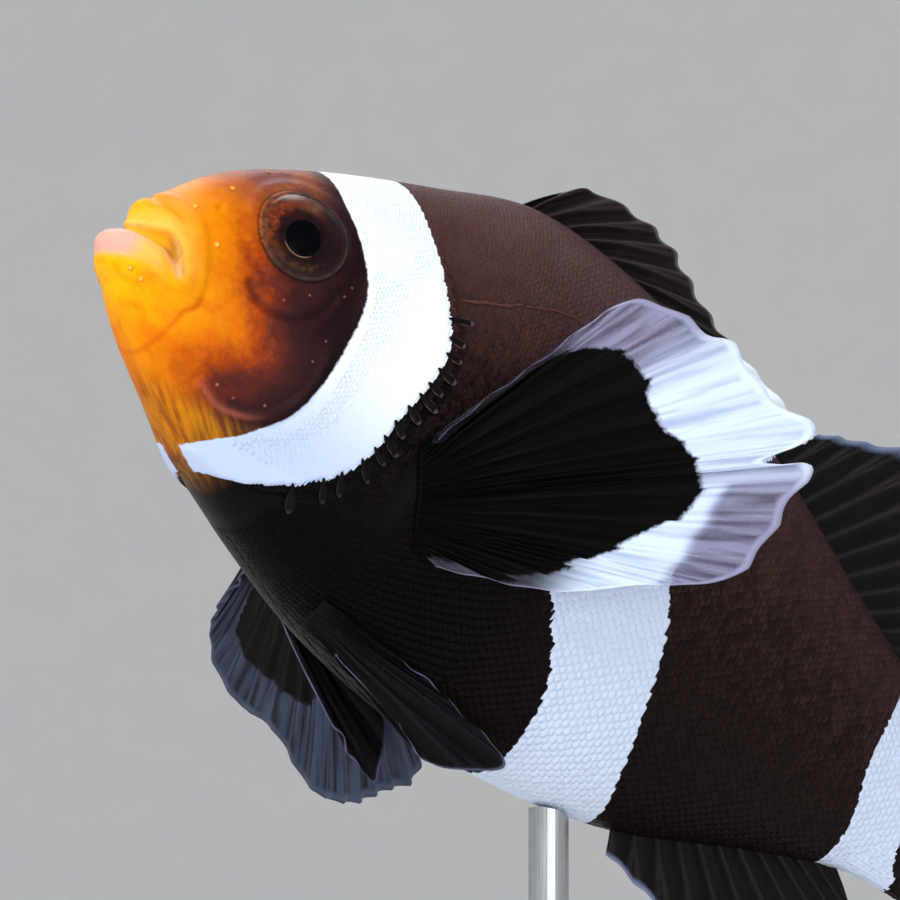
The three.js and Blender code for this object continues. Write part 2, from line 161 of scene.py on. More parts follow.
def loft_normal(s, angle):
    ds, da = 0.01, 0.01
    low = np.clip(np.asarray(s, float) - ds, 0.0, LAST)
    high = np.clip(np.asarray(s, float) + ds, 0.0, LAST)
    along = loft(high, angle) - loft(low, angle)
    around = loft(s, angle + da) - loft(s, angle - da)
    return unit(np.cross(around, along))


TABLE_S = np.linspace(0.0, LAST, 4001)
TABLE_X = station_rows(TABLE_S)[:, 0]


def station_of(x):
    return np.interp(x, TABLE_X, TABLE_S)


def side_angle(x, z):
    """The angle on the right side at which the loft is at height z."""
    rows = station_rows(station_of(x))
    back, belly, widest = rows[..., 1], rows[..., 2], rows[..., 4]
    up = np.clip((z - widest) / np.maximum(back - widest, 1e-6), 0.0, 1.0)
    down = np.clip((widest - z) / np.maximum(widest - belly, 1e-6), 0.0, 1.0) ** (1 / 0.92)
    return np.where(z >= widest, np.arccos(up), math.pi - np.arccos(down))


def on_side(x, z, side, rise=0.0):
    """Points on the body's side at x and z, raised off it by rise."""
    x, z = np.asarray(x, float), np.asarray(z, float)
    angle = side_angle(x, z)
    s = station_of(x)
    point = loft(s, angle) + loft_normal(s, angle) * np.asarray(rise, float)[..., None]
    point[..., 1] *= side
    return point


def eased(points, count):
    """An eased line through rows of points, evenly spaced by row."""
    points = np.asarray(points, float)
    rows = np.vstack([2 * points[0] - points[1], points, 2 * points[-1] - points[-2]])
    return spline(rows, np.linspace(0, len(points) - 1, count))


def chain_gap(points, chain):
    """Distance from each point to a chain of tapering balls, rows of x, y, z and radius."""
    best = np.full(len(points), 1e9)
    for a, b in zip(chain[:-1], chain[1:]):
        run = b[:3] - a[:3]
        t = np.clip(((points - a[:3]) @ run) / max(run @ run, 1e-12), 0.0, 1.0)
        gap = np.linalg.norm(points - a[:3] - t[:, None] * run, axis=1) - (a[3] + (b[3] - a[3]) * t)
        best = np.minimum(best, gap)
    return best


def line_gap(points, line):
    chain = np.column_stack([line, np.zeros(len(line))])
    return chain_gap(points, chain)


def both_sides(chain):
    """A chain that starts on the midline, carried round to the other side."""
    mirrored = chain[::-1].copy()
    mirrored[:, 1] *= -1
    return np.vstack([mirrored[:-1], chain])


def side_line(pairs, side, count=24):
    line = eased(pairs, count)
    return on_side(line[:, 0], line[:, 1], side)


# ---------------------------------------------------------------- markings
# Each edge of a white bar runs through a few places, height and distance from the snout.
BAR_1_FRONT = [(-0.14, 0.140), (-0.115, 0.155), (-0.095, 0.175), (-0.06, 0.195), (0.0, 0.200), (0.05, 0.195),
               (0.10, 0.165), (0.13, 0.150), (0.17, 0.130)]
BAR_1_REAR = [(-0.135, 0.150), (-0.12, 0.210), (-0.09, 0.250), (-0.06, 0.265), (-0.025, 0.270),
              (0.015, 0.280), (0.05, 0.280), (0.10, 0.250), (0.165, 0.215), (0.20, 0.200)]
BAR_2_FRONT = [(-0.21, 0.520), (-0.14, 0.510), (-0.095, 0.485), (-0.04, 0.440), (0.0, 0.425), (0.06, 0.430),
               (0.14, 0.475), (0.225, 0.555), (0.30, 0.575)]
BAR_2_REAR = [(-0.21, 0.640), (-0.135, 0.605), (-0.04, 0.575), (0.0, 0.555), (0.04, 0.555), (0.095, 0.570),
              (0.17, 0.625), (0.215, 0.660), (0.30, 0.670)]
BAR_3_FRONT = [(-0.12, 0.830), (-0.065, 0.825), (-0.01, 0.810), (0.05, 0.815), (0.10, 0.820)]
BAR_3_REAR = [(-0.12, 0.910), (-0.08, 0.900), (-0.05, 0.880), (0.02, 0.885), (0.10, 0.905)]
THROAT_GAP = 0.010
# What the markings count in: the white, the warmth and the height, in standard lengths.
PALE_UNIT = 0.01
NOT_PALE = -5.0
WARM_UNIT = 0.10
HEIGHT_UNIT = 0.2
MM = LENGTH * 1000


def edge_at(z, line):
    """How far from the snout an eased edge lies at height z."""
    fine = eased(line, 160)
    return np.interp(z, fine[:, 0], fine[:, 1])


def pale_of(points):
    """Signed distance into the white bars, in standard lengths: positive inside."""
    x, y, z = points[:, 0], points[:, 1], points[:, 2]
    inside = []
    for front, rear in ((BAR_1_FRONT, BAR_1_REAR), (BAR_2_FRONT, BAR_2_REAR), (BAR_3_FRONT, BAR_3_REAR)):
        inside.append(np.minimum(x - edge_at(z, front), edge_at(z, rear) - x))
    throat = np.where((z < -0.10) & (x < 0.23), np.abs(y) - THROAT_GAP, 1.0)
    inside[0] = np.minimum(inside[0], throat)
    return np.maximum.reduce(inside)


# The warm part of the head ends along this edge.
WARM_EDGE = [(-0.13, 0.170), (-0.10, 0.150), (-0.08, 0.135), (-0.04, 0.150), (-0.02, 0.145), (0.0, 0.125),
             (0.06, 0.110), (0.125, 0.110)]


def warmth_of(points):
    """How far a point lies within the orange part of the head: positive inside."""
    behind_bar = edge_at(points[:, 2], BAR_1_FRONT) + 0.010 - points[:, 0]
    return np.minimum(edge_at(points[:, 2], WARM_EDGE) - points[:, 0], 4.0 * behind_bar)


# ---------------------------------------------------------------- the head's features
LOWER_LIP = both_sides(eased([
    [0.0222, 0.0000, -0.0225, 0.0100],
    [0.0240, -0.0105, -0.0215, 0.0098],
    [0.0315, -0.0220, -0.0200, 0.0082],
    [0.0430, -0.0315, -0.0215, 0.0064],
    [0.0555, -0.0375, -0.0265, 0.0048],
    [0.0675, -0.0415, -0.0340, 0.0034],
], 16))
CHIN_PAD = both_sides(eased([
    [0.0300, 0.0000, -0.0300, 0.0125],
    [0.0330, -0.0100, -0.0300, 0.0120],
    [0.0400, -0.0200, -0.0300, 0.0090],
], 8))
UPPER_LIP = both_sides(eased([
    [0.0375, 0.0000, 0.0120, 0.0142],
    [0.0410, -0.0080, 0.0115, 0.0130],
    [0.0455, -0.0145, 0.0105, 0.0120],
    [0.0510, -0.0220, 0.0080, 0.0112],
    [0.0560, -0.0295, 0.0020, 0.0102],
    [0.0605, -0.0355, -0.0070, 0.0090],
    [0.0650, -0.0392, -0.0180, 0.0076],
    [0.0710, -0.0415, -0.0290, 0.0058],
], 22))
MUZZLE = both_sides(eased([
    [0.0390, 0.0000, 0.0030, 0.0125],
    [0.0435, -0.0090, 0.0030, 0.0112],
    [0.0500, -0.0170, 0.0020, 0.0100],
], 8))
LIP_RIM = both_sides(eased([
    [0.0245, 0.0000, -0.0020, 0.0014],
    [0.0285, -0.0080, -0.0010, 0.0017],
    [0.0335, -0.0125, 0.0015, 0.0020],
    [0.0390, -0.0185, 0.0045, 0.0024],
    [0.0460, -0.0260, 0.0060, 0.0026],
    [0.0525, -0.0330, 0.0010, 0.0026],
    [0.0575, -0.0380, -0.0085, 0.0024],
    [0.0610, -0.0415, -0.0180, 0.0018],
], 26))
LIP_FOLD = both_sides(eased([
    [0.0185, 0.0000, -0.0045, 0.0060],
    [0.0235, -0.0095, -0.0055, 0.0058],
    [0.0310, -0.0160, -0.0055, 0.0054],
    [0.0380, -0.0225, -0.0050, 0.0056],
    [0.0450, -0.0295, -0.0055, 0.0064],
    [0.0505, -0.0348, -0.0095, 0.0060],
    [0.0560, -0.0390, -0.0155, 0.0044],
    [0.0625, -0.0425, -0.0235, 0.0026],
], 26))
# The parts that make up the mouth, each with how softly it joins and whether it adds or cuts.
MOUTH = [(CHIN_PAD, 0.0060, 1), (MUZZLE, 0.0050, 1), (UPPER_LIP, 0.0050, 1), (LIP_FOLD, 0.0016, -1),
         (LIP_RIM, 0.0014, 1), (LOWER_LIP, 0.0030, 1)]
LIP_GROOVE = [(0.030, -0.032), (0.038, -0.032), (0.048, -0.033)]
# The fold of skin over the upper jaw ends along this edge.
HOOD_EDGE = [(-0.047, 0.079), (-0.036, 0.085), (-0.010, 0.078), (0.015, 0.066), (0.027, 0.056),
             (0.036, 0.040)]
HOOD_RISE = 0.0022
# The upper jaw is narrower than the head behind it: the skin is drawn in here by this much.
JAW_DRAWN_IN = 0.013
MOUTH_END = 0.105
HEAD_END = 0.33
MOUTH_PASSES = 44


def hood_gap(base):
    """How far inside the hood's edge a place lies."""
    return edge_at(base[:, 2], HOOD_EDGE) - base[:, 0]


def hood_rise(base):
    """The fold of skin over the upper jaw: a low shelf with an eased edge."""
    z = base[:, 2]
    within = step(z, -0.049, -0.040) * step(-z, -0.038, -0.030)
    return HOOD_RISE * step(hood_gap(base), -0.0018, 0.0014) * within


def soft_least(a, b, k):
    h = np.clip(0.5 + 0.5 * (b - a) / k, 0.0, 1.0)
    return b + (a - b) * h - k * h * (1 - h)


SUBORBITAL = [(0.110, 0.000), (0.122, -0.009), (0.136, -0.011), (0.150, -0.007), (0.165, 0.005),
              (0.174, 0.023)]
PREOPERCLE = [(0.125, -0.083), (0.150, -0.090), (0.180, -0.078), (0.193, -0.045), (0.190, -0.005),
              (0.185, 0.020)]
GULAR = [(0.060, -0.074), (0.100, -0.095), (0.135, -0.112), (0.153, -0.118)]
GILL_EDGE = [(0.220, 0.100), (0.245, 0.100), (0.265, 0.075), (0.280, 0.045), (0.280, 0.015), (0.270, -0.025),
             (0.265, -0.065), (0.250, -0.095), (0.220, -0.120), (0.190, -0.125), (0.160, -0.120)]
PORES = [
    (0.106, 0.099, 0.0040), (0.077, 0.064, 0.0050), (0.070, 0.041, 0.0062), (0.054, 0.032, 0.0052),
    (0.076, 0.011, 0.0056), (0.139, 0.002, 0.0036), (0.155, 0.017, 0.0030), (0.180, 0.032, 0.0028),
    (0.183, 0.042, 0.0026), (0.145, 0.110, 0.0032), (0.183, -0.007, 0.0028), (0.182, -0.026, 0.0028),
    (0.149, -0.080, 0.0036), (0.171, -0.073, 0.0036), (0.134, -0.078, 0.0034), (0.131, -0.086, 0.0028),
    (0.035, -0.037, 0.0046), (0.044, -0.041, 0.0050),
]
NOSTRIL = (0.070, 0.041)
FIN_ROOT = (0.322, -0.063)


def eye_frame(side):
    outward = np.array([
        -math.sin(EYE_FORWARD) * math.cos(EYE_UP),
        side * math.cos(EYE_FORWARD) * math.cos(EYE_UP),
        math.sin(EYE_UP),
    ])
    centre = on_side(EYE["x"], EYE["z"], side) - outward * EYE["inset"]
    ahead = unit(np.cross(outward, [0.0, 0.0, 1.0]))
    if ahead[0] > 0:
        ahead = -ahead
    above = np.cross(ahead, outward)
    if above[2] < 0:
        above = -above
    return centre, outward, ahead, above


# ---------------------------------------------------------------- one skin for all the flesh
TAIL_END = 1.004
EASING_PASSES = 5
EASING = 0.6
RINGS = [16, 24, 34, 36, 34, 36, 24, 24, 24, 22, 22, 20, 18, 16]
AROUND = 264
COAT_DEPTH = 0.0012


def coat_at(x):
    """How deep the skin lies under its scales. The snout and face are bare."""
    return COAT_DEPTH * step(x, 0.17, 0.23) * (1 - step(x, 0.985, 1.0))


def make_object(name, bm, finish):
    mesh = bpy.data.meshes.new(name)
    bm.to_mesh(mesh)
    bm.free()
    for polygon in mesh.polygons:
        polygon.use_smooth = True
    piece = bpy.data.objects.new(name, mesh)
    bpy.context.scene.collection.objects.link(piece)
    mesh.materials.append(finish)
    return piece


def read_places(mesh):
    places = np.empty(len(mesh.vertices) * 3)
    mesh.vertices.foreach_get("co", places)
    return places.reshape(-1, 3)


def write_places(mesh, places):
    mesh.vertices.foreach_set("co", np.asarray(places, np.float32).ravel())
    mesh.update()


def give(mesh, name, values):
    layer = mesh.attributes.new(name, "FLOAT", "POINT")
    layer.data.foreach_set("value", np.asarray(values, np.float32))


def give_vector(mesh, name, values):
    layer = mesh.attributes.new(name, "FLOAT_VECTOR", "POINT")
    layer.data.foreach_set("vector", np.asarray(values, np.float32).ravel())


def give_place(mesh, base, each):
    """Marks where pieces lie on the straight fish, each place held for that many corners."""
    give(mesh, "warmth", np.repeat(warmth_of(base) / WARM_UNIT, each))
    give(mesh, "height", np.repeat(base[:, 2] / HEIGHT_UNIT, each))


def give_uv(mesh, name, u, v):
    """A UV map from values held per vertex."""
    layer = mesh.uv_layers.new(name=name)
    corners = np.empty(len(mesh.loops), np.int32)
    mesh.loops.foreach_get("vertex_index", corners)
    layer.data.foreach_set("uv", np.column_stack([u[corners], v[corners]]).astype(np.float32).ravel())


def close_up(mesh):
    """Turns every face outwards."""
    bm = bmesh.new()
    bm.from_mesh(mesh)
    bmesh.ops.recalc_face_normals(bm, faces=bm.faces[:])
    bm.to_mesh(mesh)
    bm.free()
    mesh.update()


def sculpt(base, normal):
    """How far each point of the loft is raised or sunk, in standard lengths."""
    rise = np.zeros(len(base))
    near = np.where(base[:, 0] < MOUTH_END)[0]
    p, n = base[near], normal[near]
    drawn_in = JAW_DRAWN_IN * step(-p[:, 0], -0.062, -0.040) * step(p[:, 2], -0.014, -0.005)
    drawn_in = drawn_in * step(-p[:, 2], -0.034, -0.018)
    level = hood_rise(p) - drawn_in
    h = np.full(len(near), 0.020)
    for _ in range(MOUTH_PASSES):
        q = p + n * h[:, None]
        solid = h - level
        for chain, ease, way in MOUTH:
            solid = way * soft_least(way * solid, chain_gap(q, chain), ease)
        h = np.clip(h - 0.75 * solid, -0.020, 0.022)
    rise[near] = h * step(-base[near, 0], -0.104, -0.094)

    side = np.where(base[:, 1] < 0, -1, 1)
    for way in (-1, 1):
        mine = np.where((side == way) & (base[:, 0] < HEAD_END))[0]
        q = base[mine]
        d = line_gap(q, side_line(SUBORBITAL, way))
        add = -0.0022 * bell(d, 0.0028) + 0.0008 * bell(d - 0.007, 0.004)
        d = line_gap(q, side_line(PREOPERCLE, way, 40))
        fade = step(-q[:, 2], -0.01, 0.06)
        add += fade * (0.0015 * bell(d, 0.0034) - 0.0010 * bell(d - 0.0065, 0.003))
        d = line_gap(q, side_line(GULAR, way))
        add += -0.0016 * bell(d, 0.0022)
        d = line_gap(q, side_line(LIP_GROOVE, way))
        add += -0.0011 * bell(d, 0.0018)
        root = on_side(*FIN_ROOT, way)
        add += 0.0030 * np.exp(-((q[:, 0] - root[0]) / 0.016) ** 2 - ((q[:, 2] - root[2]) / 0.044) ** 2)
        d = line_gap(q, side_line(GILL_EDGE, way, 60))
        rear = edge_at(q[:, 2], BAR_1_REAR) - q[:, 0]
        d = np.where(rear > 0, d, -d)
        lid = np.where(d > 0, 0.0042 * np.exp(-np.maximum(d, 0) / 0.030), 0.0)
        lid = np.where(d > 0, lid, 0.0042 * step(d, -0.0030, 0.0) - 0.0020 * bell(d + 0.005, 0.004))
        low = step(q[:, 2], 0.125, 0.085)
        add += lid * low
        d = np.linalg.norm(q - on_side(*NOSTRIL, way), axis=1)
        add += 0.0012 * bell(d - 0.0055, 0.002) - 0.0030 * bell(d, 0.0024)
        rise[mine] += add

        centre, outward, _, _ = eye_frame(way)
        away = base - centre
        height = away @ outward
        radial = np.linalg.norm(away - height[:, None] * outward, axis=1) / EYE["radius"]
        local = (side == way) & (radial < 1.8) & (height > -0.02)
        rim = 0.0006 * bell(radial - 1.08, 0.07) - 0.0007 * bell(radial - 1.26, 0.09)
        socket = -0.0060 * step(-radial, -0.95, -0.84) - 0.012 * step(-radial, -0.88, -0.60)
        rise = np.where(local, rise + rim + socket, rise)
    return rise


SKIN_STATIONS = np.append(
    np.concatenate([np.linspace(i, i + 1, n, endpoint=False) for i, n in enumerate(RINGS)]), LAST - 0.001)


def ease_mouth(place, ring, around, rows):
    """Relaxes the skin of the mouth a little along and across its rings."""
    column = np.rint(around / (2 * math.pi) * AROUND).astype(int) % AROUND
    inner = (ring > 0) & (ring < rows)
    grid = np.zeros((rows + 1, AROUND), int)
    grid[ring[inner], column[inner]] = np.where(inner)[0]
    grid[0] = np.where(ring == 0)[0][0]
    grid[rows] = np.where(ring == rows)[0][0]
    sheet = place[grid]
    for _ in range(EASING_PASSES):
        ahead = np.vstack([sheet[:1], sheet[:-1]])
        behind = np.vstack([sheet[1:], sheet[-1:]])
        mean = (ahead + behind + np.roll(sheet, 1, axis=1) + np.roll(sheet, -1, axis=1)) / 4
        weight = EASING * step(-sheet[..., 0:1], -0.10, -0.085)
        weight[0] = 0.0
        sheet = sheet + (mean - sheet) * weight
    relaxed = place.copy()
    relaxed[grid[1:rows].ravel()] = sheet[1:rows].reshape(-1, 3)
    relaxed[grid[0, 0]] = sheet[1].mean(0)
    return relaxed


# The under side of the jaw falls away by this much for each step towards the tail.
JAW_SLOPE = 0.72


def make_skin(finish):
    bm = bmesh.new()
    rows = len(SKIN_STATIONS)
    bmesh.ops.create_uvsphere(bm, u_segments=AROUND, v_segments=rows, radius=1.0)
    piece = make_object("skin", bm, finish)
    mesh = piece.data
    ball = read_places(mesh)
    polar = np.arccos(np.clip(ball[:, 2], -1, 1)) / math.pi
    ring = np.rint(polar * rows).astype(int)
    around = np.arctan2(ball[:, 1], ball[:, 0]) % (2 * math.pi)
    s = SKIN_STATIONS[np.clip(ring, 0, rows - 1)]
    base = loft(s, around)
    normal = loft_normal(s, around)
    normal[ring == 0] = [-1.0, 0.0, 0.0]
    tail = ring >= rows
    base[tail] = [TAIL_END, 0.0, 0.0]
    normal[tail] = [1.0, 0.0, 0.0]
    outward = normal[:, 1] * base[:, 1] + normal[:, 2] * (base[:, 2] - station_rows(s)[:, 4])
    normal = np.where((outward < 0)[:, None] & (ring > 0)[:, None] & ~tail[:, None], -normal, normal)
    rise = sculpt(base, normal)
    place = base + normal * (rise - coat_at(base[:, 0]))[:, None]
    place = ease_mouth(place, ring, around, rows)
    write_places(mesh, bend(place))

    give(mesh, "pale", pale_of(base) / PALE_UNIT)
    give_place(mesh, base, 1)
    give(mesh, "station", base[:, 0])
    side = np.where(base[:, 1] < 0, -1, 1)
    near = base[:, 0] < 0.10

    def nearness(chain, reach):
        found = np.zeros(len(base))
        found[near] = bell(np.maximum(chain_gap(place[near], chain), 0), reach)
        return found

    lower = nearness(LOWER_LIP, 0.0032)
    fold = nearness(LIP_FOLD, 0.0018)
    give(mesh, "lip", lower)
    give(mesh, "upper_lip", nearness(LIP_RIM, 0.0018))
    give(mesh, "lip_face", nearness(LIP_RIM, 0.0100) * (1 - lower))
    give(mesh, "fold", fold * (1 - lower))
    give(mesh, "seam", lower * nearness(LIP_FOLD, 0.0028))
    give(mesh, "hood", bell(hood_gap(base) + 0.0010, 0.0022) * step(-base[:, 2], 0.024, 0.040) * near)
    crescent = np.zeros(len(base))
    crease = np.zeros(len(base))
    for way in (-1, 1):
        mine = np.where((side == way) & (base[:, 0] < HEAD_END))[0]
        d = line_gap(base[mine], side_line(PREOPERCLE, way, 40))
        crescent[mine] = bell(d, 0.0024) * step(-base[mine][:, 2], 0.066, 0.084)
        crescent[mine] *= step(-base[mine][:, 0], -0.180, -0.160)
        # crease: where painted shade darkens the groove under the eye.
        d = line_gap(base[mine], side_line(SUBORBITAL, way))
        crease[mine] = bell(d, 0.0034)
    give(mesh, "crescent", crescent)
    give(mesh, "crease", crease)
    give_vector(mesh, "straight", base * MM)
    jaw_run = np.column_stack([0.06 * base[:, 0], base[:, 1], base[:, 2] + JAW_SLOPE * base[:, 0]])
    give_vector(mesh, "jaw_run", jaw_run * MM)
    give_uv(mesh, "OFBake", around / (2 * math.pi), np.clip(ring / rows, 0, 1))
    return piece


# ---------------------------------------------------------------- finishes
def shade(red, green, blue):
    """A colour given as it looks, 0 to 255, turned to the linear values that a finish takes."""
    values = []
    for part in (red, green, blue):
        part = part / 255
        values.append(part / 12.92 if part <= 0.04045 else ((part + 0.055) / 1.055) ** 2.4)
    return (*values, 1.0)


class Finish:
    """A finish built up one node at a time."""

    def __init__(self, name, **sockets):
        self.material = bpy.data.materials.new(name)
        self.material.use_nodes = True
        self.tree = self.material.node_tree
        self.shader = self.tree.nodes["Principled BSDF"]
        for key, value in sockets.items():
            self.shader.inputs[key.replace("_", " ")].default_value = value

    def node(self, kind, inputs=None, **settings):
        node = self.tree.nodes.new(kind)
        for key, value in settings.items():
            setattr(node, key, value)
        for key, value in (inputs or {}).items():
            self.put(node.inputs[key], value)
        return node

    def put(self, socket, value):
        if isinstance(value, bpy.types.NodeSocket):
            self.tree.links.new(value, socket)
        else:
            socket.default_value = value

    def attribute(self, name, output="Fac"):
        return self.node("ShaderNodeAttribute", attribute_name=name).outputs[output]

    def math(self, operation, a, b=0.0, clamp=False):
        node = self.node("ShaderNodeMath", {0: a, 1: b}, operation=operation, use_clamp=clamp)
        return node.outputs[0]

    def times(self, a, b):
        return self.math("MULTIPLY", a, b)

    def stirred(self, value, noise, amount):
        """value made uneven by a noise, up and down alike."""
        return self.math("ADD", value, self.times(self.math("SUBTRACT", noise, 0.5), amount))

    def band(self, value, low, high, start=0.0, end=1.0):
        """value eased from start at low to end at high."""
        node = self.node("ShaderNodeMapRange", {"Value": value, "From Min": low, "From Max": high,
                                                "To Min": start, "To Max": end},
                         interpolation_type="SMOOTHSTEP")
        return node.outputs["Result"]

    def mix(self, amount, below, above, blend="MIX"):
        node = self.node("ShaderNodeMix", {0: amount, 6: below, 7: above}, data_type="RGBA",
                         blend_type=blend)
        return node.outputs[2]

    def lay(self, below, above, amount, strength):
        """One colour laid over another, by an amount and a strength."""
        return self.mix(self.times(amount, strength), below, above)

    def ramp(self, value, stops):
        node = self.node("ShaderNodeValToRGB", {"Fac": value})
        ramp = node.color_ramp
        while len(ramp.elements) > 1:
            ramp.elements.remove(ramp.elements[-1])
        ramp.elements[0].position = stops[0][0]
        ramp.elements[0].color = stops[0][1]
        for position, colour in stops[1:]:
            ramp.elements.new(position).color = colour
        return node.outputs["Color"]

    def noise(self, scale, detail=3.0, rough=0.55, vector=None):
        inputs = {"Scale": scale, "Detail": detail, "Roughness": rough}
        inputs["Vector"] = vector if vector is not None else self.place()
        return self.node("ShaderNodeTexNoise", inputs).outputs["Fac"]

    def place(self):
        return self.node("ShaderNodeTexCoord").outputs["Object"]

    def stretched(self, vector, scale):
        return self.node("ShaderNodeMapping", {"Vector": vector, "Scale": scale}).outputs["Vector"]

    def bump(self, height, strength, distance, below=None):
        inputs = {"Height": height, "Strength": strength, "Distance": distance}
        if below is not None:
            inputs["Normal"] = below
        return self.node("ShaderNodeBump", inputs).outputs["Normal"]

    def colour(self, value):
        self.put(self.shader.inputs["Base Color"], value)

    def rough(self, value):
        self.put(self.shader.inputs["Roughness"], value)

    def normal(self, value):
        self.put(self.shader.inputs["Normal"], value)


WHITE = shade(240, 245, 250)
# Painted shade: the white low on the head is darker and bluer.
WHITE_LOW_SHADED = shade(192, 206, 238)
WHITE_COOL = shade(222, 234, 255)
# The body is darkest behind the root of the pectoral fin.
FIN_SHADE = (0.31, -0.075)


def body_colour(f):
    """The markings that the skin and its scales share, with painted shade: the brown darkens to near black
    towards the belly, and a painted shadow lies behind the pectoral fin's root.
    """
    straight = f.attribute("straight", "Vector")
    height = f.attribute("height")
    station = f.attribute("station")
    mottle = f.noise(0.55, 4.0, 0.6, straight)
    fine = f.noise(3.2, 3.0, 0.6, straight)
    level = f.math("ADD", f.times(height, 0.5), 0.5)
    # Painted shade: the fish's own brown, darkened down to near black towards the belly, where less light
    # falls.
    brown = f.ramp(f.stirred(level, mottle, 0.22), [
        (0.0, shade(5, 3, 3)), (0.30, shade(9, 5, 5)), (0.55, shade(30, 18, 17)), (0.78, shade(66, 42, 41)),
        (1.0, shade(90, 66, 66)),
    ])
    speck = f.times(f.band(fine, 0.48, 0.68), f.band(level, 0.35, 0.70, 0.0, 0.32))
    brown = f.mix(speck, brown, shade(98, 50, 44))
    rear = f.band(station, 0.34, 0.58)
    brown = f.mix(rear, brown, f.mix(0.50, brown, shade(30, 19, 18)))
    split = f.node("ShaderNodeSeparateXYZ", {"Vector": straight})
    level_place = f.node("ShaderNodeCombineXYZ", {0: split.outputs[0], 2: split.outputs[2]}).outputs[0]
    shadow = f.node("ShaderNodeVectorMath", {0: level_place, 1: (FIN_SHADE[0] * MM, 0.0, FIN_SHADE[1] * MM)},
                    operation="DISTANCE")
    brown = f.mix(f.band(shadow.outputs["Value"], 12.0, 5.0, 0.0, 0.95), brown, shade(5, 3, 4))
    warm = f.stirred(f.attribute("warmth"), mottle, 0.60)
    warm = f.stirred(warm, fine, 0.16)
    face = f.ramp(f.math("DIVIDE", f.math("ADD", warm, 0.6), 1.9), [
        (0.0, shade(30, 13, 16)), (0.20, shade(54, 24, 26)), (0.30, shade(98, 38, 26)),
        (0.38, shade(160, 62, 9)), (0.50, shade(214, 112, 0)), (0.66, shade(232, 140, 0)),
        (0.82, shade(242, 162, 0)), (1.0, shade(250, 182, 2)),
    ])
    head = f.band(station, 0.20, 0.185)
    return f.mix(head, brown, face), fine, mottle


def bar_white(f):
    """The bars' white: darker and bluer low on the head, as painted shade, and a little bluer along the
    body.
    """
    white = f.mix(f.band(f.attribute("height"), 0.05, -0.50), WHITE, WHITE_LOW_SHADED)
    return f.mix(f.band(f.attribute("station"), 0.32, 0.40), white, WHITE_COOL)


def white_over(f, colour, fine, ragged):
    pale = f.stirred(f.attribute("pale"), fine, ragged)
    amount = f.band(pale, -0.10, 0.12)
    return f.mix(amount, colour, bar_white(f))


def make_skin_finish():
    f = Finish("clownfish_skin", Roughness=0.42, Specular_IOR_Level=0.07,
               Subsurface_Weight=0.10, Subsurface_Scale=0.0006)
    f.shader.inputs["Subsurface Radius"].default_value = (1.0, 0.45, 0.25)
    colour, fine, mottle = body_colour(f)
    height = f.attribute("height")
    station = f.attribute("station")
    straight = f.attribute("straight", "Vector")
    patchy = f.noise(0.9, 3.0, 0.55, f.stretched(straight, (0.5, 1.0, 1.3)))
    cheek = f.times(f.band(patchy, 0.44, 0.70), f.band(height, 0.0, -0.12, 0.0, 0.34))
    cheek = f.times(cheek, f.band(f.attribute("warmth"), 0.05, 0.4))
    colour = f.mix(cheek, colour, shade(206, 72, 0))
    # Painted shade: the top of the head is painted darker and browner.
    crown_shade = f.times(f.band(height, 0.20, 0.46), f.band(station, 0.160, 0.126, 0.0, 0.88))
    colour = f.mix(crown_shade, colour, f.mix(f.band(mottle, 0.35, 0.65), shade(164, 88, 44), shade(104, 60, 54)))
    snout = f.times(f.band(height, 0.10, 0.18), f.band(station, 0.066, 0.044))
    colour = f.lay(colour, shade(214, 140, 70), snout, 0.7)
    streaks = f.noise(2.2, 3.0, 0.6, f.attribute("jaw_run", "Vector"))
    throat = f.times(f.band(height, -0.42, -0.52), f.band(station, 0.20, 0.16))
    throat = f.times(throat, f.band(station, 0.07, 0.11))
    olive = f.mix(f.band(streaks, 0.36, 0.66), shade(118, 66, 18), shade(204, 136, 14))
    colour = f.lay(colour, olive, throat, 0.65)
    colour = f.lay(colour, shade(206, 84, 0), f.attribute("hood"), 0.55)
    lip = f.attribute("lip")
    peach = f.times(lip, f.band(station, 0.060, 0.036))
    colour = f.lay(colour, shade(244, 186, 96), peach, 0.75)
    pink = f.times(lip, f.times(f.band(station, 0.037, 0.024), f.band(height, -0.185, -0.145)))
    colour = f.lay(colour, shade(216, 164, 158), pink, 0.85)
    wrinkle = f.noise(5.0, 3.0, 0.6, f.stretched(straight, (1.6, 1.6, 0.35)))
    # The upper lip's face: paler lip skin with a painted highlight, wrinkled by a noise.
    lip_face_tone_and_highlight = f.times(f.attribute("lip_face"), f.band(wrinkle, 0.30, 0.70, 0.35, 0.60))
    colour = f.mix(lip_face_tone_and_highlight, colour, shade(246, 194, 88))
    # The fold under the upper lip: the inner lip's ochre, with painted shade in the recess, darker towards
    # the mouth's corner.
    fold_ochre_and_shade = f.mix(f.band(station, 0.040, 0.052), shade(226, 160, 18), shade(158, 96, 14))
    colour = f.lay(colour, fold_ochre_and_shade, f.attribute("fold"), 0.80)
    # The upper lip's rim: paler lip skin with a painted highlight along its wrinkled edge.
    rim = f.times(f.attribute("upper_lip"), f.band(wrinkle, 0.35, 0.65, 0.25, 0.50))
    colour = f.mix(rim, colour, shade(250, 208, 126))
    colour = f.lay(colour, shade(242, 196, 170), f.attribute("seam"), 0.60)
    colour = f.lay(colour, shade(172, 88, 72), f.attribute("crescent"), 0.55)
    # Painted shade in the groove under the eye.
    colour = f.lay(colour, shade(34, 14, 16), f.attribute("crease"), 0.55)
    colour = white_over(f, colour, fine, 0.35)
    f.colour(colour)
    grain = f.noise(9.0, 3.0, 0.6, straight)
    f.rough(f.band(grain, 0.2, 0.8, 0.36, 0.52))
    f.normal(f.bump(grain, 0.35, 0.00006))
    return f.material


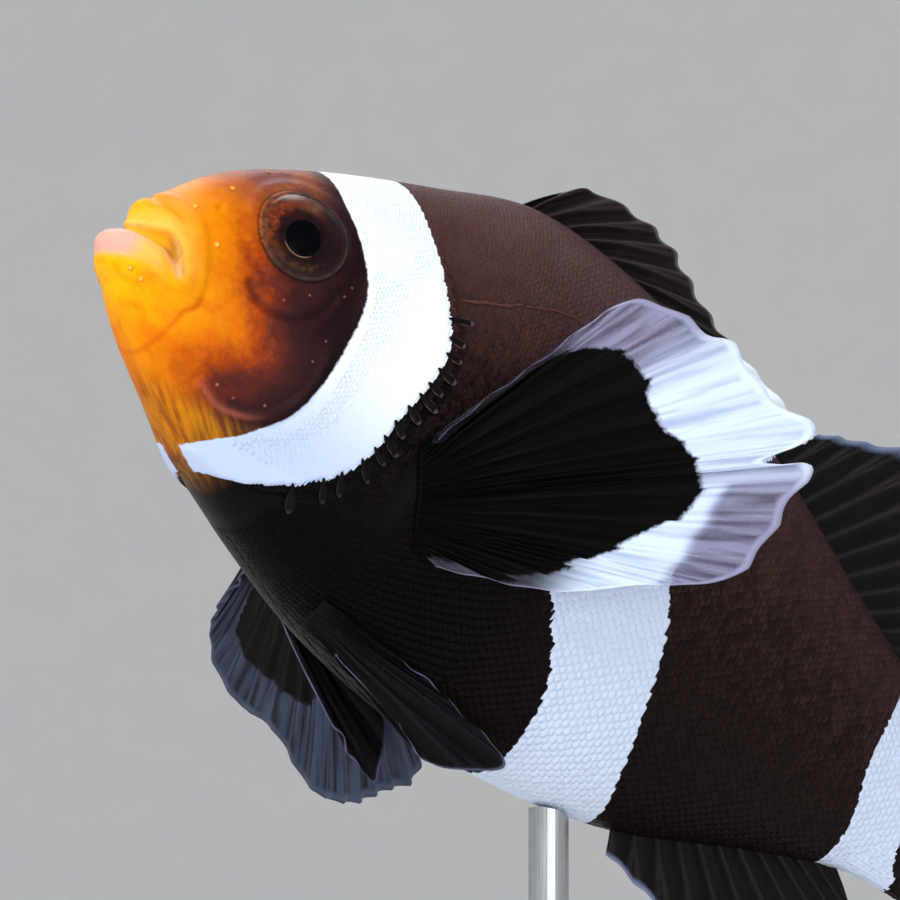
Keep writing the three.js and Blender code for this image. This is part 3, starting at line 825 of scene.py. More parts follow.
skin = make_skin(make_skin_finish())
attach(skin, "root")
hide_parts("head", "jaw_lower", "trunk", "tail_stalk")


# ---------------------------------------------------------------- scales
def repeated(name, bm, count, finish):
    """count copies of a small shape in one mesh, one after another, ready to be laid out."""
    piece = make_object(name, bm, finish)
    array = piece.modifiers.new("repeat", "ARRAY")
    array.count = count
    array.use_relative_offset = False
    array.use_constant_offset = False
    graph = bpy.context.evaluated_depsgraph_get()
    mesh = bpy.data.meshes.new_from_object(piece.evaluated_get(graph))
    single = piece.data
    piece.modifiers.clear()
    piece.data = mesh
    bpy.data.meshes.remove(single)
    mesh.name = name
    return piece


def lay_out(piece, count, roots, ahead, outward, sizes):
    """Puts each copy at its root, its own x towards the tail and its z off the skin."""
    mesh = piece.data
    shape = read_places(mesh).reshape(count, -1, 3)
    sideways = unit(np.cross(outward, ahead))
    ahead = np.cross(sideways, outward)
    local = shape * sizes[:, None, :]
    place = (roots[:, None, :] + local[..., 0:1] * ahead[:, None, :] + local[..., 1:2] * sideways[:, None, :]
             + local[..., 2:3] * outward[:, None, :])
    write_places(mesh, bend(place.reshape(-1, 3)))
    return shape


def scale_shape():
    """One scale: a rounded plate that rises to its rear edge, its rim turned down."""
    bm = bmesh.new()
    bmesh.ops.create_grid(bm, x_segments=4, y_segments=5, size=0.5)
    xs = sorted({round(v.co.x, 4) for v in bm.verts})
    ys = sorted({round(v.co.y, 4) for v in bm.verts})
    for vert in bm.verts:
        i = xs.index(round(vert.co.x, 4))
        j = ys.index(round(vert.co.y, 4))
        skirt = i == len(xs) - 1 or j in (0, len(ys) - 1)
        a = min(i, len(xs) - 2) / (len(xs) - 2)
        b = (min(max(j, 1), len(ys) - 2) - 1) / (len(ys) - 3) - 0.5
        rear = a * (1.0 - 0.9 * b * b)
        top = 0.35 + 0.65 * a - 1.1 * b * b
        if skirt:
            vert.co = Vector((rear + (0.02 if i == len(xs) - 1 else 0.0), b * 1.06, top - 1.3))
        else:
            vert.co = Vector((rear, b, top))
    return bm


COLUMN_STEP = ([0.13, 0.27, 0.42, 0.80, 1.0], [0.00290, 0.00310, 0.00500, 0.00500, 0.0042])
ROW_STEP = ([0.13, 0.27, 0.42, 0.80, 1.0], [0.0046, 0.0050, 0.0082, 0.0082, 0.0064])
THROAT_BARE_TO = 0.225
THROAT_BARE_BELOW = -0.105
FIRST_COLUMN = 0.130
LAST_COLUMN = 0.988
AFT_FROM = 0.40
OVERLAP = 2.35
BREADTH = 1.10
TILT_SPREAD = 0.12
SCALE_PATCH = 0.003
SCALE_LIFT = 0.0008
HEAD_LIFT = 0.22
# The white bars look smoother than the brown between them.
WHITE_FLATTER = 0.4


def scale_roots(side):
    """Where the scales of one side are rooted: station counts and angles, in staggered columns."""
    angles = np.linspace(0.004, math.pi - 0.004, 400)
    s_all, angle_all, pitch_all = [], [], []
    x = FIRST_COLUMN
    column = 0
    while x < LAST_COLUMN:
        s = float(station_of(x))
        ring = loft(np.full(len(angles), s), angles)
        arc = walked(ring)
        middle = np.interp(math.pi / 2, angles, arc)
        pitch = np.interp(x, *ROW_STEP)
        k = np.arange(-90, 91) + 0.5 * (column % 2)
        wanted = middle + k * pitch
        wanted = wanted[(wanted > 0.3 * pitch) & (wanted < arc[-1] - 0.3 * pitch)]
        angle_all.append(np.interp(wanted, arc, angles))
        s_all.append(np.full(len(wanted), s))
        pitch_all.append(np.full(len(wanted), pitch))
        x += np.interp(x, *COLUMN_STEP)
        column += 1
    s_all, angle_all, pitch_all = map(np.concatenate, (s_all, angle_all, pitch_all))
    spot = loft(s_all, angle_all)
    keep = spot[:, 0] > edge_at(spot[:, 2], BAR_1_FRONT) + 0.001
    keep &= (spot[:, 0] > THROAT_BARE_TO) | (spot[:, 2] > THROAT_BARE_BELOW)
    return s_all[keep], angle_all[keep], pitch_all[keep]


def make_scales(finish):
    for side, side_name in SIDES:
        s, angle, pitch = scale_roots(side)
        spot = loft(s, angle)
        for part, chosen in (("fore", spot[:, 0] < AFT_FROM), ("aft", spot[:, 0] >= AFT_FROM)):
            name = "scales_" + side_name + "_" + part
            lay_scales(name, s[chosen], angle[chosen], pitch[chosen], side, finish)


def lay_scales(name, s, angle, pitch, side, finish):
    count = len(s)
    base = loft(s, angle)
    outward = loft_normal(s, angle)
    flip = np.where((outward * base)[:, 1:].sum(1) < 0, -1.0, 1.0)[:, None]
    outward = outward * flip
    ahead = unit(loft(np.clip(s + 0.02, 0, LAST), angle) - loft(np.clip(s - 0.02, 0, LAST), angle))
    for field in (base, outward, ahead):
        field[:, 1] *= side
    rise = sculpt(base, outward)
    size = rng.uniform(0.93, 1.07, count)
    length = np.interp(base[:, 0], *COLUMN_STEP) * OVERLAP * size
    lift = SCALE_LIFT * (HEAD_LIFT + (1 - HEAD_LIFT) * step(base[:, 0], 0.26, 0.44))
    lift *= 1 - WHITE_FLATTER * step(pale_of(base), 0.0, 0.012)
    sizes = np.column_stack([length, pitch * BREADTH * size, lift])
    roots = base + outward * (rise - coat_at(base[:, 0]))[:, None]
    tilt = outward + ahead * (rng.normal(0.0, TILT_SPREAD, count) * lift / length)[:, None]
    piece = repeated(name, scale_shape(), count, finish)
    shape = lay_out(piece, count, roots, ahead, unit(tilt), sizes)
    mesh = piece.data
    each = shape.shape[1]
    centre = base + ahead * (0.6 * length)[:, None]
    reach = (shape[..., 0] * length[:, None])[..., None]
    spread = (base[:, None, :] + ahead[:, None, :] * reach).reshape(-1, 3)
    give(mesh, "pale", (0.3 * np.repeat(pale_of(centre), each) + 0.7 * pale_of(spread)) / PALE_UNIT)
    give_place(mesh, base, each)
    give(mesh, "station", np.repeat(centre[:, 0], each))
    give(mesh, "tint", np.repeat(rng.random(count), each))
    give(mesh, "tip", np.clip(shape[..., 0], 0, 1).ravel())
    give_vector(mesh, "straight", np.repeat(base * MM, each, axis=0))
    around = angle / (2 * math.pi) if side > 0 else 1 - angle / (2 * math.pi)
    along = np.interp(s, SKIN_STATIONS, np.arange(len(SKIN_STATIONS)) / len(SKIN_STATIONS))
    u = (around[:, None] + SCALE_PATCH * shape[..., 1]).ravel()
    v = (along[:, None] + SCALE_PATCH * (shape[..., 0] - 0.5)).ravel()
    give_uv(mesh, "OFBake", u, v)
    close_up(mesh)
    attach(piece, "root")


def make_scale_finish():
    f = Finish("clownfish_scales", Roughness=0.48, Specular_IOR_Level=0.05)
    colour = body_colour(f)[0]
    tip = f.attribute("tip")
    tint = f.attribute("tint")
    edge = f.times(f.band(tip, 0.35, 1.0), f.times(tint, 0.26))
    edge = f.times(edge, f.band(f.attribute("height"), -0.7, 0.2))
    colour = f.mix(edge, colour, shade(102, 70, 62))
    white = f.mix(f.times(tint, 0.3), (1, 1, 1, 1), shade(240, 244, 254))
    amount = f.band(f.attribute("pale"), -0.02, 0.02)
    colour = f.mix(amount, colour, f.mix(1.0, bar_white(f), white, "MULTIPLY"))
    f.colour(colour)
    grain = f.noise(8.0, 2.0, 0.5, f.attribute("straight", "Vector"))
    f.rough(f.band(grain, 0.2, 0.8, 0.40, 0.52))
    return f.material


make_scales(make_scale_finish())


# ---------------------------------------------------------------- gill fringe and lateral line
def lobe_shape():
    """A soft finger, rounded at its free end."""
    bm = bmesh.new()
    bmesh.ops.create_uvsphere(bm, u_segments=10, v_segments=8, radius=0.5)
    for vert in bm.verts:
        x, y, z = vert.co.z, vert.co.y, vert.co.x
        vert.co = Vector((x + 0.5, y * (0.75 + 0.5 * x), z))
    return bm


LAPPETS = 14
LAPPET_TOP = 0.064
LAPPET_FOOT = -0.108
LATERAL = [(0.276, 0.088), (0.300, 0.100), (0.360, 0.130), (0.400, 0.138), (0.460, 0.137), (0.530, 0.126)]
LATERAL_SCALES = 30


def dome_shape():
    """A low round bead, centred on its own place."""
    bm = bmesh.new()
    bmesh.ops.create_uvsphere(bm, u_segments=14, v_segments=8, radius=0.5)
    return bm


def laid_on_body(name, pairs, side, shape, sizes, headings, finish, rise):
    """Copies of a small shape laid on the body, each at its own heading in its side's plane."""
    x = np.array([p[0] for p in pairs])
    z = np.array([p[1] for p in pairs])
    count = len(x)
    flat = on_side(x, z, side)
    outward = loft_normal(station_of(x), side_angle(x, z))
    outward[:, 1] *= side
    outward *= np.where(outward[:, 1] * side < 0, -1.0, 1.0)[:, None]
    lift = sculpt(flat, outward) + rise
    root = flat + outward * lift[:, None]
    near = on_side(x + 0.004 * np.cos(headings), z + 0.004 * np.sin(headings), side, lift)
    piece = repeated(name, shape, count, finish)
    local = lay_out(piece, count, root, unit(near - root), outward, sizes)
    mesh = piece.data
    each = local.shape[1]
    give(mesh, "tip", local[..., 0].ravel())
    give(mesh, "flank", np.abs(local[..., 1]).ravel() * 2)
    give(mesh, "edge", 2 * np.hypot(local[..., 0], local[..., 1]).ravel())
    give_place(mesh, flat, each)
    give_vector(mesh, "straight", np.repeat(root * MM, each, axis=0) + local.reshape(-1, 3))
    close_up(mesh)
    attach(piece, "root")
    return piece


def make_fringe_finish():
    f = Finish("gill_fringe", Roughness=0.5, Specular_IOR_Level=0.06)
    fine = f.noise(6.0, 3.0, 0.6, f.attribute("straight", "Vector"))
    outline = f.math("MAXIMUM", f.band(f.attribute("flank"), 0.50, 0.80),
                     f.band(f.attribute("tip"), 0.80, 0.94))
    outline = f.times(outline, f.band(fine, 0.2, 0.7, 0.6, 1.0))
    outline = f.times(outline, f.band(f.attribute("tip"), 0.10, 0.45))
    outline = f.times(outline, f.band(f.attribute("height"), -0.45, 0.20, 0.25, 1.0))
    f.colour(f.mix(outline, shade(14, 9, 9), shade(108, 90, 92)))
    f.normal(f.bump(fine, 0.3, 0.00004))
    return f.material


def make_lateral_finish():
    f = Finish("lateral_line_scales", Roughness=0.5, Specular_IOR_Level=0.05)
    fine = f.noise(3.0, 3.0, 0.6, f.attribute("straight", "Vector"))
    line = f.mix(fine, shade(66, 42, 39), shade(108, 68, 58))
    f.colour(f.mix(f.band(f.attribute("flank"), 0.40, 0.95), line, shade(72, 46, 45)))
    f.normal(f.bump(fine, 0.3, 0.00004))
    return f.material


def make_pore_finish():
    f = Finish("head_pores", Roughness=0.45, Specular_IOR_Level=0.08)
    fine = f.noise(5.0, 2.0, 0.5, f.attribute("straight", "Vector"))
    warm = f.band(f.attribute("warmth"), -0.2, 0.6)
    pore = f.mix(warm, f.mix(fine, shade(118, 54, 42), shade(148, 78, 58)), shade(250, 176, 66))
    rim = f.mix(warm, shade(70, 32, 32), shade(230, 140, 20))
    f.colour(f.mix(f.band(f.attribute("edge"), 0.35, 0.95), pore, rim))
    return f.material


fringe_finish = make_fringe_finish()
lateral_finish = make_lateral_finish()
pore_finish = make_pore_finish()
for side, side_name in SIDES:
    height = np.linspace(LAPPET_TOP, LAPPET_FOOT, LAPPETS) + rng.normal(0, 0.0010, LAPPETS)
    edge = np.column_stack([edge_at(height, BAR_1_REAR) - 0.0050, height])
    turn = np.radians(np.linspace(8, -46, LAPPETS)) + rng.normal(0, 0.12, LAPPETS)
    long = rng.uniform(0.0170, 0.0260, LAPPETS)
    sizes = np.column_stack([long, rng.uniform(0.0078, 0.0100, LAPPETS), np.full(LAPPETS, 0.0024)])
    laid_on_body("gill_fringe_" + side_name, edge, side, lobe_shape(), sizes, turn, fringe_finish, 0.0004)
    line = eased(LATERAL, LATERAL_SCALES)
    run = np.gradient(line, axis=0)
    on_brown = pale_of(on_side(line[:, 0], line[:, 1], side)) < -0.004
    line, run = line[on_brown], run[on_brown]
    taper = np.interp(line[:, 0], [0.27, 0.40, 0.53], [1.0, 0.8, 0.5]) * rng.uniform(0.7, 1.2, len(line))
    sizes = np.column_stack([rng.uniform(0.0100, 0.0130, len(line)), 0.0034 * taper, 0.0016 * taper])
    heading = np.arctan2(run[:, 1], run[:, 0]) + rng.normal(0, 0.05, len(line))
    laid_on_body("lateral_line_" + side_name, line + rng.normal(0, 0.0003, line.shape), side, lobe_shape(),
                 sizes, heading, lateral_finish, -0.0002)
    spots = np.array(PORES)
    sizes = np.column_stack([spots[:, 2], spots[:, 2], 0.30 * spots[:, 2]])
    laid_on_body("head_pores_" + side_name, spots[:, :2], side, dome_shape(), sizes, np.zeros(len(spots)),
                 pore_finish, 0.0)


# ---------------------------------------------------------------- eyes
PUPIL = 0.352
PUPIL_AHEAD = 0.03
PUPIL_UP = -0.17
DOME = 0.83
DOME_RISE = 0.0062
LENS_RISE = 0.0020


def skin_height(places, outward, side):
    """How far along outward the head's surface lies from each place."""
    height = np.zeros(len(places))
    for _ in range(8):
        spot = places + outward * height[:, None]
        height += (on_side(spot[:, 0], spot[:, 2], side)[:, 1] - spot[:, 1]) / outward[1]
    return height


def make_eye(name, side, node, finish):
    """A ball whose collar follows the head, with a clear-looking dome over the iris and a pupil."""
    centre, outward, ahead, above = eye_frame(side)
    bm = bmesh.new()
    bmesh.ops.create_uvsphere(bm, u_segments=120, v_segments=80, radius=1.0)
    ball = make_object(name, bm, finish)
    mesh = ball.data
    unit = read_places(mesh)
    radial = np.hypot(unit[:, 0], unit[:, 1])
    front = unit[:, 2] > 0
    flat = EYE["radius"] * 0.985
    disc = centre + ahead * (unit[:, 0] * flat)[:, None] + above * (unit[:, 1] * flat)[:, None]
    skin_level = skin_height(disc, outward, side)
    level = skin_level * step(radial, 0.30, 0.90) + EYE["inset"] * (1 - step(radial, 0.30, 0.90))
    from_pupil = np.hypot(unit[:, 0] - PUPIL_AHEAD, unit[:, 1] - PUPIL_UP)
    collar = 0.0012 - 0.006 * step(radial, 0.90, 1.0)
    dome = DOME_RISE * np.sqrt(np.clip(1 - (radial / DOME) ** 2, 0, 1))
    groove = 0.0001 * bell(radial - DOME, 0.03)
    lens = LENS_RISE * np.sqrt(np.clip(1 - (from_pupil / PUPIL) ** 2, 0, 1))
    rim = 0.0003 * bell(from_pupil - PUPIL - 0.02, 0.03)
    back = -EYE["depth"] * 0.5 * np.sqrt(np.clip(1 - radial ** 2, 0, 1))
    height = np.where(front, level + collar + dome + rim - groove + lens, level - 0.008 + back)
    write_places(mesh, bend(disc + outward * height[:, None]))
    give(mesh, "radial", np.where(front, radial, 1.0))
    give(mesh, "from_pupil", np.where(front, from_pupil, 1.0))
    give_vector(mesh, "eye", np.column_stack([unit[:, 0], unit[:, 1], np.zeros(len(unit))]))
    close_up(mesh)
    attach(ball, "root")
    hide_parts(node)


def make_eye_finish():
    f = Finish("clownfish_eye", Roughness=0.26, Specular_IOR_Level=0.05)
    radial = f.attribute("radial")
    from_pupil = f.attribute("from_pupil")
    eye = f.attribute("eye", "Vector")
    streak = f.noise(3.0, 4.0, 0.6, eye)
    fine = f.noise(9.0, 4.0, 0.65, eye)
    split = f.node("ShaderNodeSeparateXYZ", {"Vector": eye})
    ahead, above = split.outputs["X"], split.outputs["Y"]
    iris = f.mix(f.band(ahead, -0.5, 0.6), shade(27, 20, 23), shade(96, 42, 22))
    iris = f.mix(f.band(streak, 0.40, 0.62), iris, shade(44, 22, 22))
    low = f.times(f.band(above, -0.30, -0.75), f.band(fine, 0.40, 0.62))
    iris = f.lay(iris, shade(92, 70, 44), low, 0.5)
    # Painted highlight: a tan streak on the upper front of the iris.
    iris_highlight = f.times(f.band(streak, 0.36, 0.58), f.band(above, 0.28, 0.48))
    iris_highlight = f.times(iris_highlight, f.band(ahead, -0.25, 0.10))
    iris = f.lay(iris, shade(140, 92, 66), iris_highlight, 0.45)
    fleck = f.times(f.band(fine, 0.46, 0.68), f.band(ahead, 0.36, 0.62))
    fleck = f.times(fleck, f.band(above, 0.50, 0.10))
    iris = f.lay(iris, shade(160, 62, 22), fleck, 0.7)
    outer = f.mix(streak, shade(42, 27, 28), shade(72, 50, 45))
    warm_side = f.times(f.band(ahead, 0.20, 0.80), f.band(fine, 0.30, 0.65))
    outer = f.lay(outer, shade(168, 82, 28), warm_side, 0.85)
    outer = f.mix(f.band(ahead, 0.1, -0.7, 0.0, 0.7), outer, shade(50, 36, 42))
    colour = f.mix(f.band(radial, 0.74, 0.84), iris, outer)
    pale_ring = f.times(f.band(radial, 0.83, 0.87), f.band(radial, 0.93, 0.89))
    pale_ring = f.times(pale_ring, f.band(streak, 0.35, 0.60))
    colour = f.lay(colour, shade(120, 90, 70), pale_ring, 0.15)
    dark = f.times(f.band(radial, 0.70, 0.80), f.band(radial, 0.90, 0.81))
    colour = f.lay(colour, shade(26, 16, 16), dark, 0.45)
    colour = f.mix(f.band(radial, 0.91, 0.97, 0.0, 0.7), colour, shade(36, 22, 22))
    bezel = f.times(f.band(from_pupil, 0.60, 0.44), 0.85)
    colour = f.mix(bezel, colour, shade(22, 14, 17))
    gold = f.times(f.band(from_pupil, 0.352, 0.362), f.band(from_pupil, 0.386, 0.370))
    gold = f.times(gold, f.band(above, -0.36, -0.50))
    colour = f.lay(colour, shade(150, 116, 84), gold, 0.7)
    colour = f.mix(f.band(from_pupil, 0.362, 0.348), colour, shade(2, 1, 4))
    f.colour(colour)
    f.normal(f.bump(fine, 0.2, 0.00005))
    return f.material


eye_finish = make_eye_finish()
make_eye("eye_left_ball", -1, "eye_left", eye_finish)
make_eye("eye_right_ball", 1, "eye_right", eye_finish)


# ---------------------------------------------------------------- fins
NUDGE = 1e-3


def fan_sheet(name, rays, across, along, surface, thick, thin, finish, node, pleat, extras):
    """A thin closed fin. surface gives its middle at u across the rays and v out from the root."""
    bm = bmesh.new()
    columns = (rays - 1) * across
    bmesh.ops.create_grid(bm, x_segments=columns, y_segments=along, size=0.5)
    bmesh.ops.solidify(bm, geom=bm.faces[:], thickness=1.0)
    piece = make_object(name, bm, finish)
    mesh = piece.data
    flat = read_places(mesh)
    u = np.clip(flat[:, 0] + 0.5, 0, 1)
    v = np.clip(flat[:, 1] + 0.5, 0, 1)
    low, high = flat[:, 2].min(), flat[:, 2].max()
    face = np.where(flat[:, 2] > (low + high) / 2, 1.0, -1.0)
    ray = u * (rays - 1)
    off = np.abs(ray - np.rint(ray))
    split = 0.13 * step(v, 0.45, 0.80)
    ridge = bell(off - split, 0.085 - 0.02 * v)
    fine_split = 0.055 * step(v, 0.72, 0.95)
    ridge = np.maximum(ridge * (1 - 0.35 * step(v, 0.75, 0.95)),
                       0.8 * bell(off - split - fine_split, 0.05) * step(v, 0.70, 0.90))
    middle = surface(u, v)
    ahead = surface(np.clip(u + NUDGE, 0, 1), v) - surface(np.clip(u - NUDGE, 0, 1), v)
    out = surface(u, np.clip(v + NUDGE, 0, 1)) - surface(u, np.clip(v - NUDGE, 0, 1))
    normal = unit(np.cross(ahead, out))
    taper = 1.0 - 0.72 * smooth(v)
    half = thin * (1.0 - 0.5 * v) + thick * ridge * taper
    middle = middle + normal * (pleat * step(v, 0.0, 0.3) * np.cos(2 * math.pi * ray))[:, None]
    place = middle + normal * (half * face)[:, None]
    write_places(mesh, bend(place))
    give(mesh, "ray", ridge)
    give(mesh, "reach", v)
    give(mesh, "count", ray)
    give_vector(mesh, "straight", middle * MM)
    give_uv(mesh, "fin", u, v)
    for key, values in extras(u, v, middle).items():
        give(mesh, key, values)
    close_up(mesh)
    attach(piece, "root")
    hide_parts(node)


def fan_point(roots, tips, bow=0.0):
    """A fan between an eased root line and an eased tip line."""
    roots = np.asarray(roots, float)
    tips = np.asarray(tips, float)

    def at(line, u):
        fine = eased(line, 241)
        t = np.linspace(0, 1, len(fine))
        return np.column_stack([np.interp(u, t, fine[:, k]) for k in range(fine.shape[1])])

    def surface(u, v):
        root, tip = at(roots, u), at(tips, u)
        run = tip - root
        flat = root + run * v[:, None]
        swell = bow * np.sin(math.pi * v) * (1 - 0.3 * v)
        flat = flat + np.column_stack([run[:, 1], -run[:, 0]]) * swell[:, None]
        return np.column_stack([flat[:, 0], np.zeros(len(u)), flat[:, 1]])
    return surface


def scalloped(surface, rays, dip, ragged, seed):
    """Lets the web fall back between ray tips, and the tips differ a little."""
    local = np.random.default_rng(seed)
    lengths = 1.0 - ragged * local.random(rays)

    def shaped(u, v):
        ray = u * (rays - 1)
        off = np.abs(ray - np.rint(ray))
        top = np.interp(ray, np.arange(rays), lengths) - dip * (np.sin(math.pi * off) ** 1.2)
        return surface(u, v * top)
    return shaped


def waved(surface, sideways):
    """Adds a sideways wave, sideways(u, v), to an upright fin."""
    def shaped(u, v):
        place = surface(u, v)
        place[:, 1] += sideways(u, v)
        return place
    return shaped


SPINES = 11
SOFT_RAYS = 15
ANAL_RAYS = 13
TAIL_RAYS = 17
LEFT_RAYS = 21
RIGHT_RAYS = 27
PELVIC_RAYS = 7
SINK = 0.010
DORSAL_SPINY = fan_point([(0.320, 0.206), (0.345, 0.208), (0.385, 0.210), (0.445, 0.204), (0.604, 0.158)],
                         [(0.350, 0.245), (0.380, 0.270), (0.430, 0.277), (0.465, 0.271), (0.495, 0.255),
                          (0.530, 0.237), (0.565, 0.227), (0.605, 0.218), (0.645, 0.208)], bow=-0.04)
DORSAL_SOFT = fan_point([(0.612, 0.162 - SINK), (0.725, 0.120 - SINK), (0.835, 0.075 - SINK)],
                        [(0.654, 0.212), (0.705, 0.236), (0.775, 0.262), (0.848, 0.266), (0.905, 0.236),
                         (0.926, 0.186), (0.905, 0.135), (0.868, 0.098)])
ANAL = fan_point([(0.640, -0.155 + SINK), (0.740, -0.120 + SINK), (0.835, -0.080 + SINK)],
                 [(0.654, -0.192), (0.712, -0.206), (0.790, -0.226), (0.866, -0.226), (0.918, -0.196),
                  (0.930, -0.156), (0.906, -0.122), (0.868, -0.102)])
TAIL = fan_point([(0.985, 0.070), (0.990, -0.002), (0.985, -0.074)],
                 [(1.075, 0.116), (1.165, 0.142), (1.226, 0.122), (1.262, 0.068), (1.272, -0.002),
                  (1.262, -0.072), (1.226, -0.126), (1.165, -0.146), (1.075, -0.120)])


def rim_marks(width):
    def marks(u, v, middle):
        pale = np.where((middle[:, 0] < 0.75) & (middle[:, 2] > 0), pale_of(middle) / PALE_UNIT, NOT_PALE)
        return {"pale": pale, "rim": (v - 1.0 + width) / width}
    return marks


def paired_fin(root, ahead, upward, root_line, edge, bulge, turns, ripple, seated=False):
    """A fan in a tilted plane. edge is its margin there, out and up from the root, as an eased line.

    root_line gives the middle and the half length of the root, measured up that plane. Near the
    root the fin settles on to the body's side.
    """
    root_middle, root_half = root_line
    side = math.copysign(1, root[1])
    root = np.asarray(root, float)
    e1 = unit(np.asarray(ahead, float))
    e2 = np.asarray(upward, float)
    e2 = unit(e2 - e1 * (e1 @ e2))
    out = np.cross(e1, e2)
    outline = eased(edge, 301)
    share = walked(outline) / walked(outline)[-1]

    def plane(u, v):
        start_b = root_middle + root_half * (1 - 2 * u)
        tip_a = np.interp(u, share, outline[:, 0])
        tip_b = np.interp(u, share, outline[:, 1])
        return FIN_SINK * (v - 1) + tip_a * v, start_b + (tip_b - start_b) * v

    def surface(u, v):
        a, b = plane(u, v)
        lift = bulge * np.sin(math.pi * np.clip(v, 0, 1)) * (1 + 0.5 * np.cos(2 * math.pi * (u - 0.5)))
        lift = lift + ripple * v ** 2 * np.sin(2 * math.pi * (2.3 * u + turns))
        place = root + e1 * a[:, None] + e2 * b[:, None] + out * lift[:, None]
        if seated:
            under = on_side(place[:, 0], place[:, 2], side, np.full(len(place), -FIN_UNDER))
            place[:, 1] += (under[:, 1] - place[:, 1]) * step(-v, -0.34, -0.02)
        return place
    return surface, plane


# Margins of the paired fins, each out along the middle ray and up across it.
FIN_SINK = 0.008
FIN_UNDER = 0.0045
PECTORAL_EDGE = [(0.005, 0.036), (0.050, 0.068), (0.110, 0.102), (0.160, 0.132), (0.187, 0.140),
                 (0.210, 0.132), (0.240, 0.107), (0.260, 0.096), (0.290, 0.052), (0.322, 0.022),
                 (0.275, 0.002), (0.318, -0.004), (0.295, -0.030), (0.270, -0.062),
                 (0.235, -0.089), (0.165, -0.088), (0.095, -0.087),
                 (0.005, -0.060)]
FAR_EDGE = [(0.010, 0.030), (0.120, 0.060), (0.180, 0.090), (0.230, 0.112), (0.275, 0.110), (0.290, 0.075),
            (0.280, 0.020), (0.297, -0.035), (0.265, -0.090), (0.205, -0.140), (0.130, -0.175),
            (-0.010, -0.060)]
PATCH_EDGE = [(0.020, 0.040), (0.080, 0.080), (0.140, 0.105), (0.185, 0.090), (0.195, 0.050), (0.225, 0.005),
              (0.215, -0.025), (0.170, -0.050), (0.080, -0.075), (0.005, -0.055)]
FAR_PATCH = [(0.020, 0.022), (0.150, 0.062), (0.215, 0.088), (0.235, 0.060), (0.225, 0.010), (0.195, -0.035),
             (0.135, -0.075), (0.005, -0.055)]
PELVIC_EDGE_LEFT = [(0.100, 0.020), (0.135, 0.031), (0.160, 0.027), (0.193, 0.000), (0.185, -0.010),
                    (0.150, -0.014), (0.110, -0.018), (0.060, -0.020)]
PELVIC_EDGE_RIGHT = [(0.105, 0.005), (0.145, 0.006), (0.178, 0.004), (0.166, -0.008), (0.150, -0.027),
                     (0.130, -0.035), (0.095, -0.042), (0.055, -0.042)]


def make_fin_finish(name, core, ridge_colour, rim_colour, rim_alpha=0.75, web_alpha=0.96):
    """A dark fin whose outer rim goes pale and clear."""
    f = Finish(name, Roughness=0.48, Specular_IOR_Level=0.08)
    straight = f.attribute("straight", "Vector")
    fine = f.noise(3.0, 3.0, 0.6, straight)
    mottle = f.noise(0.9, 3.0, 0.6, straight)
    ray = f.attribute("ray")
    reach = f.attribute("reach")
    colour = f.mix(mottle, core, [c * 1.9 for c in core[:3]] + [1.0])
    colour = f.lay(colour, ridge_colour, ray, 0.75)
    rim = f.stirred(f.attribute("rim"), fine, 0.5)
    rim = f.band(rim, 0.0, 1.0)
    colour = f.mix(rim, colour, rim_colour)
    colour = white_over(f, colour, fine, 1.0)
    f.colour(colour)
    clear = f.mix(rim, (web_alpha, web_alpha, web_alpha, 1), (rim_alpha, rim_alpha, rim_alpha, 1))
    clear = f.math("MAXIMUM", clear, f.times(ray, 0.98))
    f.put(f.shader.inputs["Alpha"], clear)
    joints = f.node("ShaderNodeTexWave", {"Vector": f.node("ShaderNodeCombineXYZ", {0: reach}).outputs[0],
                                          "Scale": 16.0, "Distortion": 0.0},
                    wave_type="BANDS", bands_direction="X").outputs["Fac"]
    joints = f.times(joints, ray)
    lower = f.bump(joints, 0.25, 0.00005)
    f.normal(f.bump(fine, 0.25, 0.00006, lower))
    return f.material


dark_fin = make_fin_finish("dark_fin_web", shade(10, 8, 9), shade(50, 43, 47), shade(118, 128, 164))
dorsal_fin = make_fin_finish("dorsal_fin_web", shade(22, 17, 18), shade(66, 54, 56), shade(110, 102, 112))
pale_edged = make_fin_finish("pelvic_fin_web", shade(5, 4, 5), shade(30, 27, 34), shade(104, 108, 136), 0.9)

fan_sheet("dorsal_spines", SPINES, 14, 46,
          waved(scalloped(DORSAL_SPINY, SPINES, 0.012, 0.02, 3),
                lambda u, v: 0.004 * v * np.sin(5.0 * u + 0.6)),
          0.0014, 0.0006, dorsal_fin, "dorsal_fin_spiny", pleat=0.0030, extras=rim_marks(0.04))
fan_sheet("dorsal_soft_rays", SOFT_RAYS, 10, 56,
          waved(scalloped(DORSAL_SOFT, SOFT_RAYS, 0.03, 0.03, 4), lambda u, v: 0.006 * v * np.sin(4.2 * u)),
          0.0018, 0.0005, dark_fin, "dorsal_fin_soft", pleat=0.0012, extras=rim_marks(0.12))
fan_sheet("anal_rays", ANAL_RAYS, 10, 56,
          waved(scalloped(ANAL, ANAL_RAYS, 0.03, 0.03, 5), lambda u, v: -0.006 * v * np.sin(4.2 * u)),
          0.0018, 0.0005, dark_fin, "anal_fin", pleat=0.0012, extras=rim_marks(0.10))
fan_sheet("tail_rays", TAIL_RAYS, 10, 70,
          waved(scalloped(TAIL, TAIL_RAYS, 0.02, 0.02, 6),
                lambda u, v: 0.012 * v ** 2 * np.sin(3.0 * u - 0.5)),
          0.0020, 0.0005, dark_fin, "tail_fin", pleat=0.0010, extras=rim_marks(0.16))


